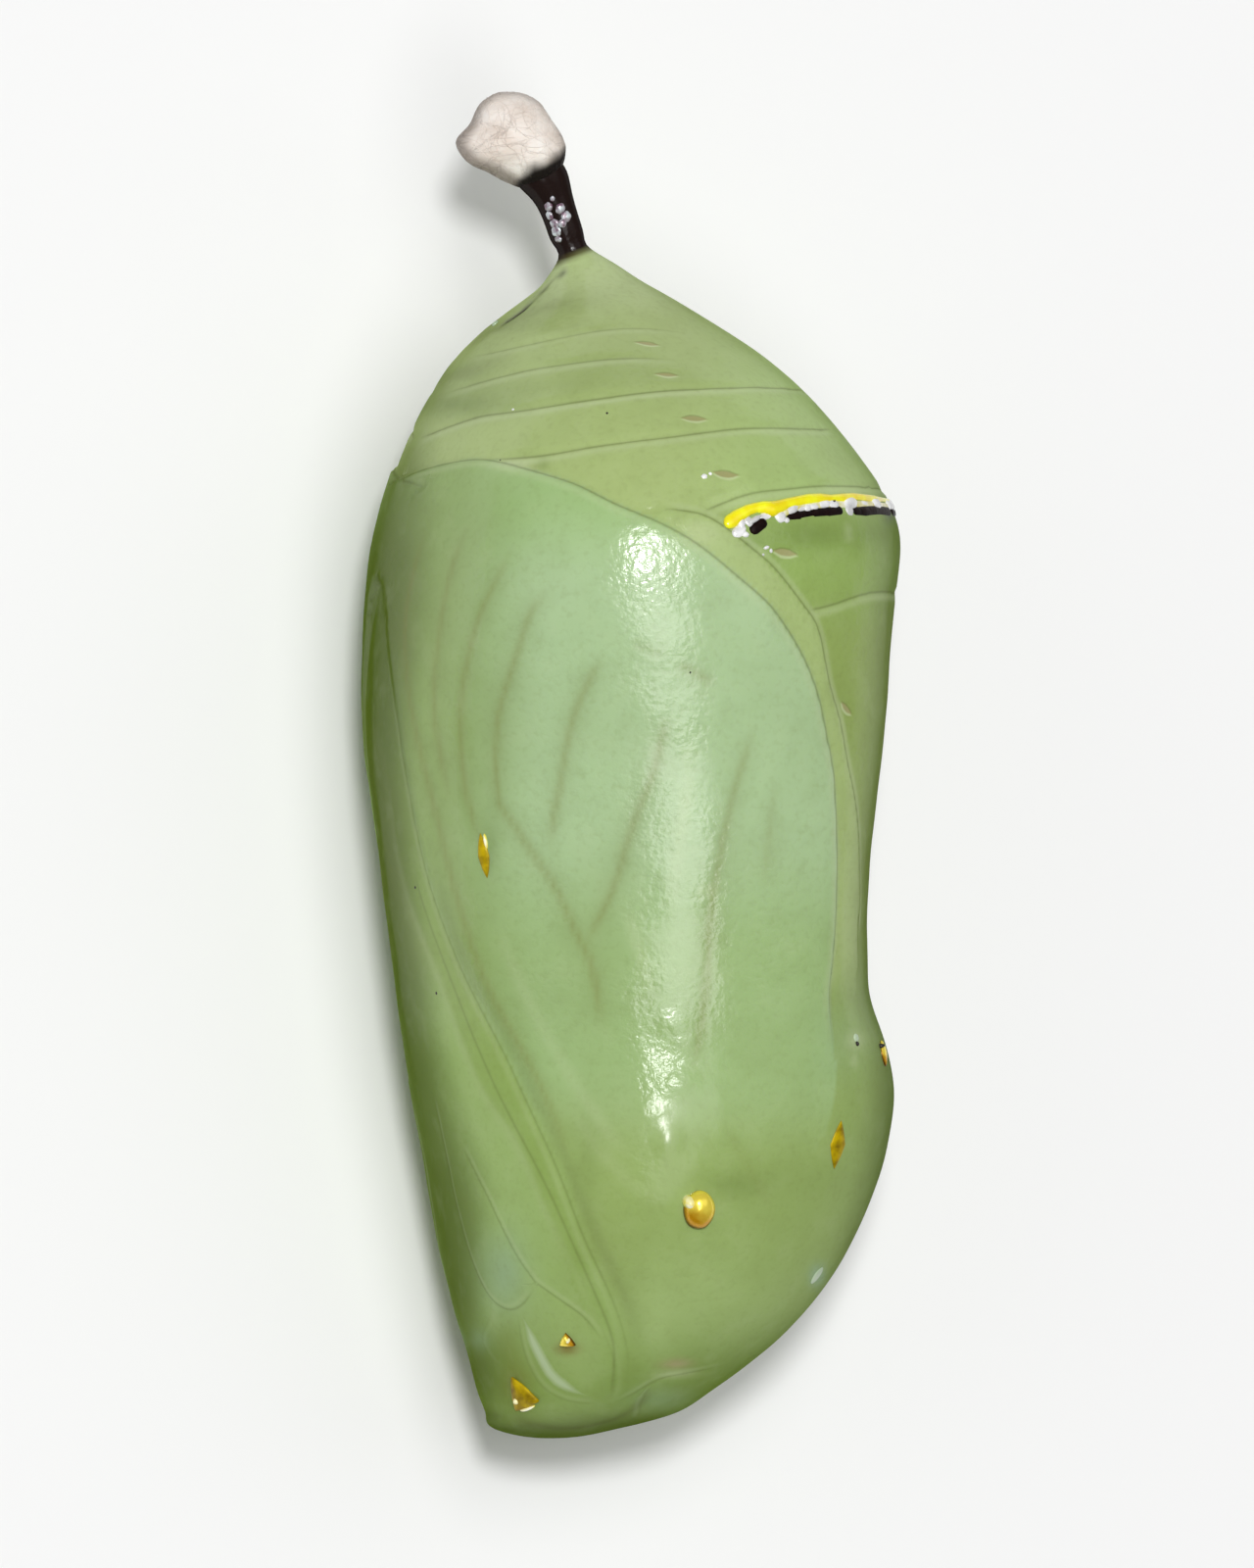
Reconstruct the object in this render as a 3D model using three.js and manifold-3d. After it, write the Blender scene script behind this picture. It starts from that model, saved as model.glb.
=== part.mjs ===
// A monarch butterfly's chrysalis lying on its left side, with the silk button that it hung from.
// Millimetres. +Y runs from the head to the tail, +X from the belly to the back, +Z is up.
import * as THREE from "three";
import { mergeVertices } from "three/addons/utils/BufferGeometryUtils.js";
import Module from "manifold-3d";

const wasm = await Module();
wasm.setup();

// Driving dimensions.
// The outlines below are seen from the right side, turned this far towards the belly.
const SEEN_TILT = THREE.MathUtils.degToRad(15);
// Lying on a table, the narrower head end comes down by this much.
const REST_PITCH = THREE.MathUtils.degToRad(3.44);
// The skin is worn flat by this depth where it rests.
const REST_FLAT_DEPTH = 0.1;
// Squareness of a cross-section: 2 is an ellipse, more is fuller.
const BACK_FULLNESS = 2.3;
const BELLY_FULLNESS = 2.1;
const AROUND_SEGMENTS = 32;
const LENGTH_SEGMENTS = 38;
// The wing case sinks back into the skin between these distances from the head.
const WING_CASE_RISE = 0.12;
const WING_CASE_LOW_RISE = 0.02;
const WING_CASE_FADE = [5.5, 10];
const HIND_WING_RISE = 0.05;
const ANTENNA_RISE = 0.07;
const SILK_GAP = 0.05;
// The lines between the tail's segments: which of SECTIONS each follows, and how deep it is.
const SEGMENT_LINES = [9, 10, 11, 12, 13, 14, 16];
const SEGMENT_LINE_DEPTH = 0.07;
const SEGMENT_LINE_HALF_WIDTH = 0.16;

// Cross-sections from the tip of the stalk to the head. Each one spans the seen outline from
// the belly to the back. y is the distance from the tip of the head, x from the long axis.
// [belly y, belly x, back y, back x, half width, how far the widest line lies behind the middle]
const SECTIONS = [
  [27.15, -2.1, 27.15, -2.1, 0, 0],
  [26.8, -2.5, 27.2, -1.8, 0.38, 0],
  [26.41, -2.4, 26.85, -1.42, 0.48, 0],
  [26.08, -2.08, 26.38, -1.28, 0.41, 0],
  [25.6, -1.84, 25.85, -1.14, 0.36, 0],
  [25.22, -1.69, 25.44, -1.02, 0.34, 0],
  [24.92, -1.55, 25.15, -0.91, 0.35, 0],
  [24.5, -1.78, 24.83, -0.4, 0.72, 0],
  [24.16, -2.11, 24.47, 0.15, 1.2, 0],
  [23.54, -2.92, 24.12, 0.78, 1.95, 0],
  [22.81, -3.68, 23.6, 1.66, 2.8, 0],
  [22.09, -4.2, 23.02, 2.57, 3.6, 0],
  [21.26, -4.64, 22.25, 3.5, 4.4, 0],
  [20.33, -5.0, 21.26, 4.4, 5.12, 0],
  [19.4, -5.28, 20.12, 5.22, 5.64, 0],
  [18.57, -5.46, 19.09, 5.64, 5.9, 0],
  [17.53, -5.57, 17.95, 5.6, 5.95, 0.1],
  [16.29, -5.61, 16.5, 5.45, 5.85, 0.4],
  [14.63, -5.59, 14.74, 5.3, 5.6, 0.75],
  [12.98, -5.44, 12.98, 5.1, 5.4, 0.95],
  [11.32, -5.24, 11.32, 4.96, 5.22, 1.0],
  [10.08, -5.07, 10.08, 4.97, 5.14, 0.95],
  [9.25, -4.97, 9.25, 5.05, 5.12, 0.85],
  [8.42, -4.84, 8.42, 5.33, 5.14, 0.65],
  [7.39, -4.68, 7.39, 5.52, 5.2, 0.35],
  [6.35, -4.49, 6.35, 5.42, 5.2, 0.05],
  [5.32, -4.31, 5.32, 5.15, 5.1, -0.25],
  [4.28, -4.12, 4.28, 4.72, 4.82, -0.3],
  [3.46, -3.95, 3.46, 4.26, 4.45, -0.2],
  [2.63, -3.75, 2.63, 3.6, 3.95, 0],
  [1.8, -3.5, 1.8, 2.72, 3.35, 0],
  [0.97, -3.25, 0.97, 1.62, 2.6, 0],
  [0.5, -3.07, 0.5, 0.8, 1.95, 0],
  [0.2, -2.86, 0.2, -0.35, 1.2, 0],
  [0, -1.6, 0, -1.6, 0, 0],
];

// Seen outlines, [x, y], of what stands up from the skin.
const WING_CASE = [
  [-7, 20.4], [-5.2, 20.4], [-3.9, 20.5], [-3.2, 20.6], [-2.1, 20.3], [-0.5, 19.7],
  [1.3, 18.8], [2.9, 17.5], [3.6, 16.2], [4.0, 14.5], [4.25, 12.6], [4.2, 10.3],
  [4.3, 8.3], [3.6, 6.8], [2.9, 5.4], [0.4, 4.9], [-1.2, 4.8], [-1.9, 6.2],
  [-2.7, 8.3], [-3.4, 9.6], [-4.1, 11.2], [-4.6, 13.5], [-5.1, 16.6], [-5.6, 18],
  [-7, 18.5],
];
const HIND_WING = [
  [1.0, 19.5], [1.5, 19.4], [2.4, 18.7], [3.2, 17.9], [3.9, 17.0], [4.2, 15.6],
  [4.5, 13.8], [4.7, 12.4], [4.75, 11.2], [4.5, 10.8], [4.1, 11.5], [4.05, 14.4],
  [3.6, 16], [2.8, 17.4], [1.2, 18.7],
];
const ANTENNA = [
  [-5.12, 16.6], [-4.95, 15.5], [-4.55, 13.0], [-4.1, 11.2], [-3.35, 9.4], [-2.55, 8.0],
  [-1.75, 6.2], [-0.95, 4.2], [-0.4, 3.0], [-0.1, 1.9], [-0.25, 0.95], [-0.65, 1.2],
  [-0.75, 2.6], [-1.5, 4.4], [-2.4, 6.4], [-3.15, 7.8], [-3.9, 9.2], [-4.5, 11.0],
  [-4.9, 13.0], [-5.2, 15.5], [-5.3, 16.5],
];

// Knobs of gold and pale skin: seen [x, y], half sizes across, along and out, and turn.
const KNOBS = [
  { at: [1.4, 4.95], size: [0.38, 0.42, 0.3], turn: 0, rings: 6 },
  { at: [-2.3, 0.98], size: [0.34, 0.42, 0.3], turn: 35, rings: 5 },
  { at: [-1.33, 2.12], size: [0.22, 0.22, 0.2], turn: 0 },
  { at: [4.32, 6.28], size: [0.17, 0.42, 0.16], turn: 5 },
  { at: [-3.01, 12.35], size: [0.15, 0.42, 0.12], turn: -8 },
  { at: [5.22, 8.2], size: [0.2, 0.24, 0.16], turn: 0 },
  { at: [3.9, 3.5], size: [0.17, 0.24, 0.1], turn: -20 },
];

// The row of beads across the back, one side of it: seen [x, y] to the edge of the back, and
// then round the back to its middle line.
const BEAD_LINE_SEEN = [[1.95, 19.22], [2.4, 19.5], [3.2, 19.62], [4.2, 19.75], [5.05, 19.72]];
const BEAD_MIDDLE_Y = 19.6;
const BEAD_RADIUS = 0.26;
const BEAD_SPACING = 0.7;

// The silk button: its middle in the seen view, its reach every 36 degrees from the back's
// side through the tail's, and half its depth.
const SILK_MIDDLE = [-2.63, 27.37];
const SILK_REACH = [1.12, 1.0, 0.98, 1.04, 1.04, 1.2, 0.98, 0.84, 0.92, 1.08];
const SILK_HALF_DEPTH = 0.9;

const seenAxis = new THREE.Vector3(-Math.sin(SEEN_TILT), 0, Math.cos(SEEN_TILT));
const seenTurn = new THREE.Matrix4().makeRotationY(-SEEN_TILT);

const bellyCurve = curveOf((s) => [s[1], s[0], s[4]]);
const backCurve = curveOf((s) => [s[3], s[2], s[5]]);
const flankCurve = curveOf((s) => [0, (s[0] + s[2]) / 2, s[4]]);

function curveOf(pick) {
  const points = SECTIONS.map((s) => new THREE.Vector3(...pick(s)));
  return new THREE.CatmullRomCurve3(points, false, "catmullrom", 0.5);
}

// How far a section reaches from its widest line, so that its seen outline is where it should
// be although it is seen turned by SEEN_TILT.
function reach(seen, halfWidth, fullness) {
  const dual = fullness / (fullness - 1);
  const side = halfWidth * Math.sin(SEEN_TILT);
  const rest = Math.max(seen, side * 1.001) ** dual - side ** dual;
  return rest ** (1 / dual) / Math.cos(SEEN_TILT);
}

// A point of the skin: along runs from 0 at the stalk's tip to 1 at the head, and angle from 0
// at the back through a quarter turn on the right side. grow lifts it off the skin.
function skinPoint(along, angle, grow = 0) {
  const belly = bellyCurve.getPoint(along);
  const back = backCurve.getPoint(along);
  const halfWidth = Math.max(belly.z, 0);
  const middle = (belly.x + back.x) / 2;
  const crest = middle / Math.cos(SEEN_TILT) + back.z;
  const seenCrest = crest * Math.cos(SEEN_TILT);
  const span = Math.max(back.x - belly.x, 1e-6);
  const lean = (back.y - belly.y) / span;
  const behind = Math.cos(angle) > 0;
  const fullness = behind ? BACK_FULLNESS : BELLY_FULLNESS;
  const seen = behind ? back.x - seenCrest : seenCrest - belly.x;
  const depth = span > 1e-5 ? reach(seen, halfWidth, fullness) : 0;
  const across = Math.sign(Math.cos(angle)) * Math.abs(Math.cos(angle)) ** (2 / fullness);
  const side = Math.sign(Math.sin(angle)) * Math.abs(Math.sin(angle)) ** (2 / fullness);
  const offset = across * depth;
  const outX = across * halfWidth;
  const outZ = side * Math.max(depth, 1e-6);
  const outLength = Math.hypot(outX, outZ) || 1;
  return new THREE.Vector3(
    crest + offset + (grow * outX) / outLength,
    (belly.y + back.y) / 2 + lean * (seenCrest - middle + offset * Math.cos(SEEN_TILT)),
    side * halfWidth + (grow * outZ) / outLength,
  );
}

// Where the skin's rings of vertices lie: evenly spread, with three more at each segment line.
const lineRings = SEGMENT_LINES.map((section) => section / (SECTIONS.length - 1));
const rings = makeRings();

function makeRings() {
  const gap = SEGMENT_LINE_HALF_WIDTH / flankCurve.getLength();
  const near = (ring) => lineRings.some((line) => Math.abs(ring - line) < 1.8 * gap);
  const even = Array.from({ length: LENGTH_SEGMENTS + 1 }, (_, i) =>
    flankCurve.getUtoTmapping(i / LENGTH_SEGMENTS),
  ).filter((ring) => !near(ring));
  const lines = lineRings.flatMap((line) => [line - gap, line, line + gap]);
  return [...even, ...lines].sort((a, b) => a - b);
}

// How far the skin dips at a ring.
function lineDepth(_y, ring) {
  return lineRings.includes(ring) ? -SEGMENT_LINE_DEPTH : 0;
}

// The whole skin, lifted by grow(y, ring), as a sphere whose rings become the cross-sections.
function skin(grow = lineDepth) {
  const last = rings.length - 1;
  const sphere = new THREE.SphereGeometry(1, AROUND_SEGMENTS, last);
  const position = sphere.getAttribute("position");
  for (let i = 0; i < position.count; i++) {
    const index = Math.round((Math.acos(position.getY(i)) / Math.PI) * last);
    const ring = rings[index];
    const pole = index === 0 || index === last;
    const angle = pole ? 0 : Math.atan2(position.getZ(i), position.getX(i));
    const plain = skinPoint(ring, angle);
    const point = pole ? plain : skinPoint(ring, angle, grow(plain.y, ring));
    position.setXYZ(i, point.x, point.y, point.z);
  }
  return sphere;
}

function solidOf(geometry) {
  const bare = geometry.index ? geometry.clone() : geometry;
  bare.deleteAttribute("normal");
  bare.deleteAttribute("uv");
  const merged = mergeVertices(bare, 1e-4);
  return new wasm.Manifold(
    new wasm.Mesh({
      numProp: 3,
      vertProperties: merged.attributes.position.array,
      triVerts: new Uint32Array(merged.index.array),
    }),
  );
}

function geometryOf(solid) {
  const mesh = solid.getMesh();
  const geometry = new THREE.BufferGeometry();
  geometry.setAttribute("position", new THREE.BufferAttribute(mesh.vertProperties, 3));
  geometry.setIndex(new THREE.BufferAttribute(mesh.triVerts, 1));
  const flat = geometry.toNonIndexed();
  flat.computeVertexNormals();
  return flat;
}

// The same shape on the chrysalis's other side.
function mirrored(geometry) {
  const other = geometry.index ? geometry.toNonIndexed() : geometry.clone();
  const p = other.getAttribute("position").array;
  for (let i = 0; i < p.length; i += 9) {
    for (let k = 0; k < 3; k++) {
      [p[i + 3 + k], p[i + 6 + k]] = [p[i + 6 + k], p[i + 3 + k]];
    }
    for (let corner = 2; corner < 9; corner += 3) {
      p[i + corner] = -p[i + corner];
    }
  }
  return other;
}

// What stands inside a seen outline, from the middle of the body out.
function seenPrism(outline) {
  const points = outline.map(([x, y]) => new THREE.Vector3(x, y, 0));
  const smooth = new THREE.CatmullRomCurve3(points, true, "catmullrom", 0.5);
  const shape = new THREE.Shape(
    smooth.getPoints(outline.length * 2).slice(0, -1).map((p) => new THREE.Vector2(p.x, p.y)),
  );
  const prism = new THREE.ExtrudeGeometry(shape, { depth: 9, bevelEnabled: false });
  return prism.applyMatrix4(seenTurn);
}

function raised(body, outline, grow) {
  const prism = seenPrism(outline);
  const swollen = solidOf(skin(grow));
  let result = body;
  for (const side of [prism, mirrored(prism)]) {
    result = result.add(swollen.intersect(solidOf(side)));
  }
  return result;
}

// Where the seen point [x, y] lies on the right side's skin, and the way out of the skin there.
const skinMesh = new THREE.Mesh(skin(), new THREE.MeshBasicMaterial({ side: THREE.DoubleSide }));

function onSkin([x, y]) {
  const start = new THREE.Vector3(x, y, 0).applyMatrix4(seenTurn).addScaledVector(seenAxis, 30);
  const [hit] = new THREE.Raycaster(start, seenAxis.clone().negate()).intersectObject(skinMesh);
  return { point: hit.point, out: hit.face.normal.clone() };
}

function knob({ at, size, turn, rings = 4 }) {
  const { point, out } = onSkin(at);
  const [across, along, high] = size;
  const alongSkin = new THREE.Vector3(0, 1, 0).addScaledVector(out, -out.y).normalize();
  const frame = new THREE.Matrix4()
    .makeBasis(new THREE.Vector3().crossVectors(alongSkin, out), alongSkin, out)
    .setPosition(point);
  return new THREE.SphereGeometry(1, 2 * rings, rings)
    .scale(across, along, high)
    .rotateZ(THREE.MathUtils.degToRad(turn))
    .applyMatrix4(frame);
}

// The beads' places on the right side, from the wing case to the middle of the back.
function beadPlaces() {
  const seen = BEAD_LINE_SEEN.map((p) => onSkin(p).point);
  const last = seen.at(-1);
  const round = [0.4, 0.2, 0].map((angle) => {
    const share = 1 - angle / 0.6;
    const y = THREE.MathUtils.lerp(last.y, BEAD_MIDDLE_Y, share);
    return skinPoint(alongAt(y, angle), angle);
  });
  const line = new THREE.CatmullRomCurve3([...seen, ...round], false, "catmullrom", 0.5);
  return line.getSpacedPoints(Math.round(line.getLength() / BEAD_SPACING));
}

// The share of the length at which the skin is y from the head's tip, at an angle.
function alongAt(y, angle) {
  let low = 0;
  let high = 1;
  for (let step = 0; step < 30; step++) {
    const middle = (low + high) / 2;
    if (skinPoint(middle, angle).y > y) low = middle;
    else high = middle;
  }
  return (low + high) / 2;
}

function bead(place) {
  return new THREE.SphereGeometry(BEAD_RADIUS, 6, 4).translate(place.x, place.y, place.z);
}

function silkButton(gap = 0) {
  const sphere = new THREE.SphereGeometry(1, 20, 10);
  const position = sphere.getAttribute("position");
  const turns = SILK_REACH.length;
  for (let i = 0; i < position.count; i++) {
    const [x, y, z] = [position.getX(i), position.getY(i), position.getZ(i)];
    const turn = ((Math.atan2(y, x) / (2 * Math.PI)) * turns + turns) % turns;
    const before = Math.floor(turn) % turns;
    const blend = THREE.MathUtils.smoothstep(turn - Math.floor(turn), 0, 1);
    const after = SILK_REACH[(before + 1) % turns];
    const reachHere = THREE.MathUtils.lerp(SILK_REACH[before], after, blend) + gap;
    position.setXYZ(
      i,
      SILK_MIDDLE[0] + x * reachHere,
      SILK_MIDDLE[1] + y * reachHere,
      z * (SILK_HALF_DEPTH + gap),
    );
  }
  return sphere;
}

// How the finished chrysalis lies on the table, before its origin is set.
const lying = new THREE.Matrix4().makeRotationX(REST_PITCH);

function lowestPoint(geometry) {
  const posed = geometry.clone().applyMatrix4(lying);
  posed.computeBoundingBox();
  return posed.boundingBox.min.z;
}

function tableSlab(top) {
  const thickness = 4;
  return new THREE.BoxGeometry(40, 60, thickness)
    .translate(0, 14, top - thickness / 2)
    .applyMatrix4(lying.clone().invert());
}

function makePupa() {
  let body = solidOf(skin());
  body = raised(body, WING_CASE, wingCaseRise);
  body = raised(body, HIND_WING, () => HIND_WING_RISE);
  body = raised(body, ANTENNA, (y) => wingCaseRise(y) + ANTENNA_RISE);
  for (const knobAt of KNOBS) {
    const geometry = knob(knobAt);
    body = body.add(solidOf(geometry)).add(solidOf(mirrored(geometry)));
  }
  const places = beadPlaces();
  places.forEach((place, i) => {
    const geometry = bead(place);
    body = body.add(solidOf(geometry));
    if (i < places.length - 1) body = body.add(solidOf(mirrored(geometry)));
  });
  return body;
}

function wingCaseRise(y) {
  const share = THREE.MathUtils.smoothstep(y, ...WING_CASE_FADE);
  return THREE.MathUtils.lerp(WING_CASE_LOW_RISE, WING_CASE_RISE, share);
}

const pupaSolid = makePupa();
const restLevel = lowestPoint(geometryOf(pupaSolid)) + REST_FLAT_DEPTH;
const pupaGeometry = geometryOf(pupaSolid.subtract(solidOf(tableSlab(restLevel))));
const socket = solidOf(skin(() => SILK_GAP));
const silkGeometry = geometryOf(solidOf(silkButton()).subtract(socket));

const pupa = new THREE.Mesh(
  pupaGeometry,
  new THREE.MeshStandardMaterial({ color: 0x96b481, roughness: 0.35, metalness: 0 }),
);
pupa.name = "pupa";

const silkPad = new THREE.Mesh(
  silkGeometry,
  new THREE.MeshStandardMaterial({ color: 0xe0d8cc, roughness: 0.9, metalness: 0 }),
);
silkPad.name = "silk_pad";

const chrysalis = new THREE.Group();
chrysalis.add(pupa, silkPad);
chrysalis.rotation.x = REST_PITCH;
const box = new THREE.Box3().setFromObject(chrysalis, true);
const middle = box.getCenter(new THREE.Vector3());
chrysalis.position.set(-middle.x, -middle.y, -box.min.z);

const part = new THREE.Group();
part.add(chrysalis);
part.updateMatrixWorld(true);

export default part;
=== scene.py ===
"""A green butterfly chrysalis lying on its left flank, with the silk button that it hung from.

Shapes are worked out in millimetres in the animal's own axes: X runs from the belly to the
back, Y from the head to the stalk, and Z out of the right side. Markings are given as points
of the photograph and laid onto the skin from there.
"""

import logging
import math
from dataclasses import dataclass, field
from enum import Enum
from typing import Sequence

import bmesh
import bpy
import numpy as np
from mathutils import Matrix, Vector
from mathutils.bvhtree import BVHTree


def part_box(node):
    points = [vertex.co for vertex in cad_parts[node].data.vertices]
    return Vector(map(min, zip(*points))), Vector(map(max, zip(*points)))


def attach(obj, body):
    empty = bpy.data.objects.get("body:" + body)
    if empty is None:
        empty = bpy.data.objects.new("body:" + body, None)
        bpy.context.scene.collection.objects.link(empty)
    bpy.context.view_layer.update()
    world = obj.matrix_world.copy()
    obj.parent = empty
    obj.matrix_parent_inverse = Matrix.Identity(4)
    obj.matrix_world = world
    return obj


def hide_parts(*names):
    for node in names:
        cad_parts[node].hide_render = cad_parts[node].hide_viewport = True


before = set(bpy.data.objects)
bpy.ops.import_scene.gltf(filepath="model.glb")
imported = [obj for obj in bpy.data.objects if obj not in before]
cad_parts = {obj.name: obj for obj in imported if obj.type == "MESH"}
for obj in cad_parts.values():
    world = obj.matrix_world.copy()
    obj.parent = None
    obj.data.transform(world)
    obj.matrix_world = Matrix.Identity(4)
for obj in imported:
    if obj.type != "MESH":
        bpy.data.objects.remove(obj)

LOG = logging.getLogger("chrysalis")
MM = 0.001

# The photograph's frame, and where the animal's axes lie in it.
PHOTO_WIDTH = 1280
PHOTO_HEIGHT = 1600
MM_PER_PIXEL = 0.0207
LONG_AXIS_COLUMN = 645
HEAD_TIP_ROW = 1467
# The photograph looks at the right side, turned this far towards the belly.
SEEN_TILT = math.radians(15)
# Lying down, the narrower head end comes down by this much.
REST_PITCH = math.radians(3.44)
REST_FLAT_DEPTH = 0.1

SEEN_ACROSS = np.array([math.cos(SEEN_TILT), 0.0, math.sin(SEEN_TILT)])
SEEN_AXIS = np.array([-math.sin(SEEN_TILT), 0.0, math.cos(SEEN_TILT)])
LONG_AXIS = np.array([0.0, 1.0, 0.0])

# Keeps divisions by lengths away from zero.
TINY = 1e-12

Pixel = tuple[float, float]
Colour = tuple[float, float, float]

# Cross-sections from the tip of the stalk to the head, each spanning the seen outline from
# the belly to the back: [belly y, belly x, back y, back x, half width, crest behind middle].
SECTIONS = (
    (27.15, -2.1, 27.15, -2.1, 0.0, 0.0),
    (26.8, -2.5, 27.2, -1.8, 0.38, 0.0),
    (26.41, -2.4, 26.85, -1.42, 0.48, 0.0),
    (26.08, -2.08, 26.38, -1.28, 0.41, 0.0),
    (25.6, -1.84, 25.85, -1.14, 0.36, 0.0),
    (25.22, -1.69, 25.44, -1.02, 0.34, 0.0),
    (24.92, -1.55, 25.15, -0.91, 0.35, 0.0),
    (24.5, -1.78, 24.83, -0.4, 0.72, 0.0),
    (24.16, -2.11, 24.47, 0.15, 1.2, 0.0),
    (23.54, -2.92, 24.12, 0.78, 1.95, 0.0),
    (22.81, -3.68, 23.6, 1.66, 2.8, 0.0),
    (22.09, -4.2, 23.02, 2.57, 3.6, 0.0),
    (21.26, -4.64, 22.25, 3.5, 4.4, 0.0),
    (20.33, -5.0, 21.26, 4.4, 5.12, 0.0),
    (19.4, -5.28, 20.12, 5.22, 5.64, 0.0),
    (18.57, -5.46, 19.09, 5.64, 5.9, 0.0),
    (17.53, -5.57, 17.95, 5.6, 5.95, 0.1),
    (16.29, -5.61, 16.5, 5.45, 5.85, 0.4),
    (14.63, -5.59, 14.74, 5.3, 5.6, 0.75),
    (12.98, -5.44, 12.98, 5.1, 5.4, 0.95),
    (11.32, -5.24, 11.32, 4.96, 5.22, 1.0),
    (10.08, -5.07, 10.08, 4.97, 5.14, 0.95),
    (9.25, -4.97, 9.25, 5.05, 5.12, 0.85),
    (8.42, -4.84, 8.42, 5.33, 5.14, 0.65),
    (7.39, -4.68, 7.39, 5.52, 5.2, 0.35),
    (6.35, -4.49, 6.35, 5.42, 5.2, 0.05),
    (5.32, -4.31, 5.32, 5.15, 5.1, -0.25),
    (4.28, -4.12, 4.28, 4.72, 4.82, -0.3),
    (3.46, -3.95, 3.46, 4.26, 4.45, -0.2),
    (2.63, -3.75, 2.63, 3.6, 3.95, 0.0),
    (1.8, -3.5, 1.8, 2.72, 3.35, 0.0),
    (0.97, -3.25, 0.97, 1.62, 2.6, 0.0),
    (0.5, -3.07, 0.5, 0.8, 1.95, 0.0),
    (0.2, -2.86, 0.2, -0.35, 1.2, 0.0),
    (0.0, -1.6, 0.0, -1.6, 0.0, 0.0),
)


def srgb(red: float, green: float, blue: float) -> np.ndarray:
    """Turn a colour as seen on a screen into the linear one that shaders use.

    Args:
        red: Red from 0 to 255.
        green: Green from 0 to 255.
        blue: Blue from 0 to 255.

    Returns:
        The three linear values from 0 to 1.
    """
    value = np.array([red, green, blue]) / 255.0
    return np.where(value <= 0.04045, value / 12.92, ((value + 0.055) / 1.055) ** 2.4)


def smoothstep(value: np.ndarray, low: float, high: float) -> np.ndarray:
    """Rise smoothly from 0 at low to 1 at high.

    Args:
        value: Where to read the step.
        low: Where the step starts.
        high: Where the step ends; below low, the step falls instead.

    Returns:
        The step's height at each value.
    """
    share = np.clip((value - low) / (high - low), 0.0, 1.0)
    return share * share * (3.0 - 2.0 * share)


def bump(value: np.ndarray, width: float) -> np.ndarray:
    """Give a bell curve that is 1 at 0 and falls off over width."""
    return np.exp(-((value / width) ** 2))


class Spline:
    """A smooth curve through rows of values, read at any share of the row numbers."""

    def __init__(self, values: Sequence[Sequence[float]]) -> None:
        """Fit the curve.

        Args:
            values: One row of numbers for each knot, at whole steps.
        """
        self.values = np.asarray(values, float)
        count = len(self.values)
        matrix = np.eye(count) * 4.0
        matrix += np.eye(count, k=1) + np.eye(count, k=-1)
        matrix[0, :2] = (1.0, 0.0)
        matrix[-1, -2:] = (0.0, 1.0)
        right = np.zeros_like(self.values)
        right[1:-1] = 6.0 * (self.values[2:] - 2.0 * self.values[1:-1] + self.values[:-2])
        self.bends = np.linalg.solve(matrix, right)

    def at(self, step: np.ndarray) -> np.ndarray:
        """Read the curve.

        Args:
            step: Places along the knots, from 0 to their number less one.

        Returns:
            One row of values for each place.
        """
        step = np.clip(np.asarray(step, float), 0.0, len(self.values) - 1.0)
        low = np.minimum(step.astype(int), len(self.values) - 2)
        after = (step - low)[..., None]
        before = 1.0 - after
        return (
            before * self.values[low]
            + after * self.values[low + 1]
            + ((before**3 - before) * self.bends[low] + (after**3 - after) * self.bends[low + 1]) / 6.0
        )


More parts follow.
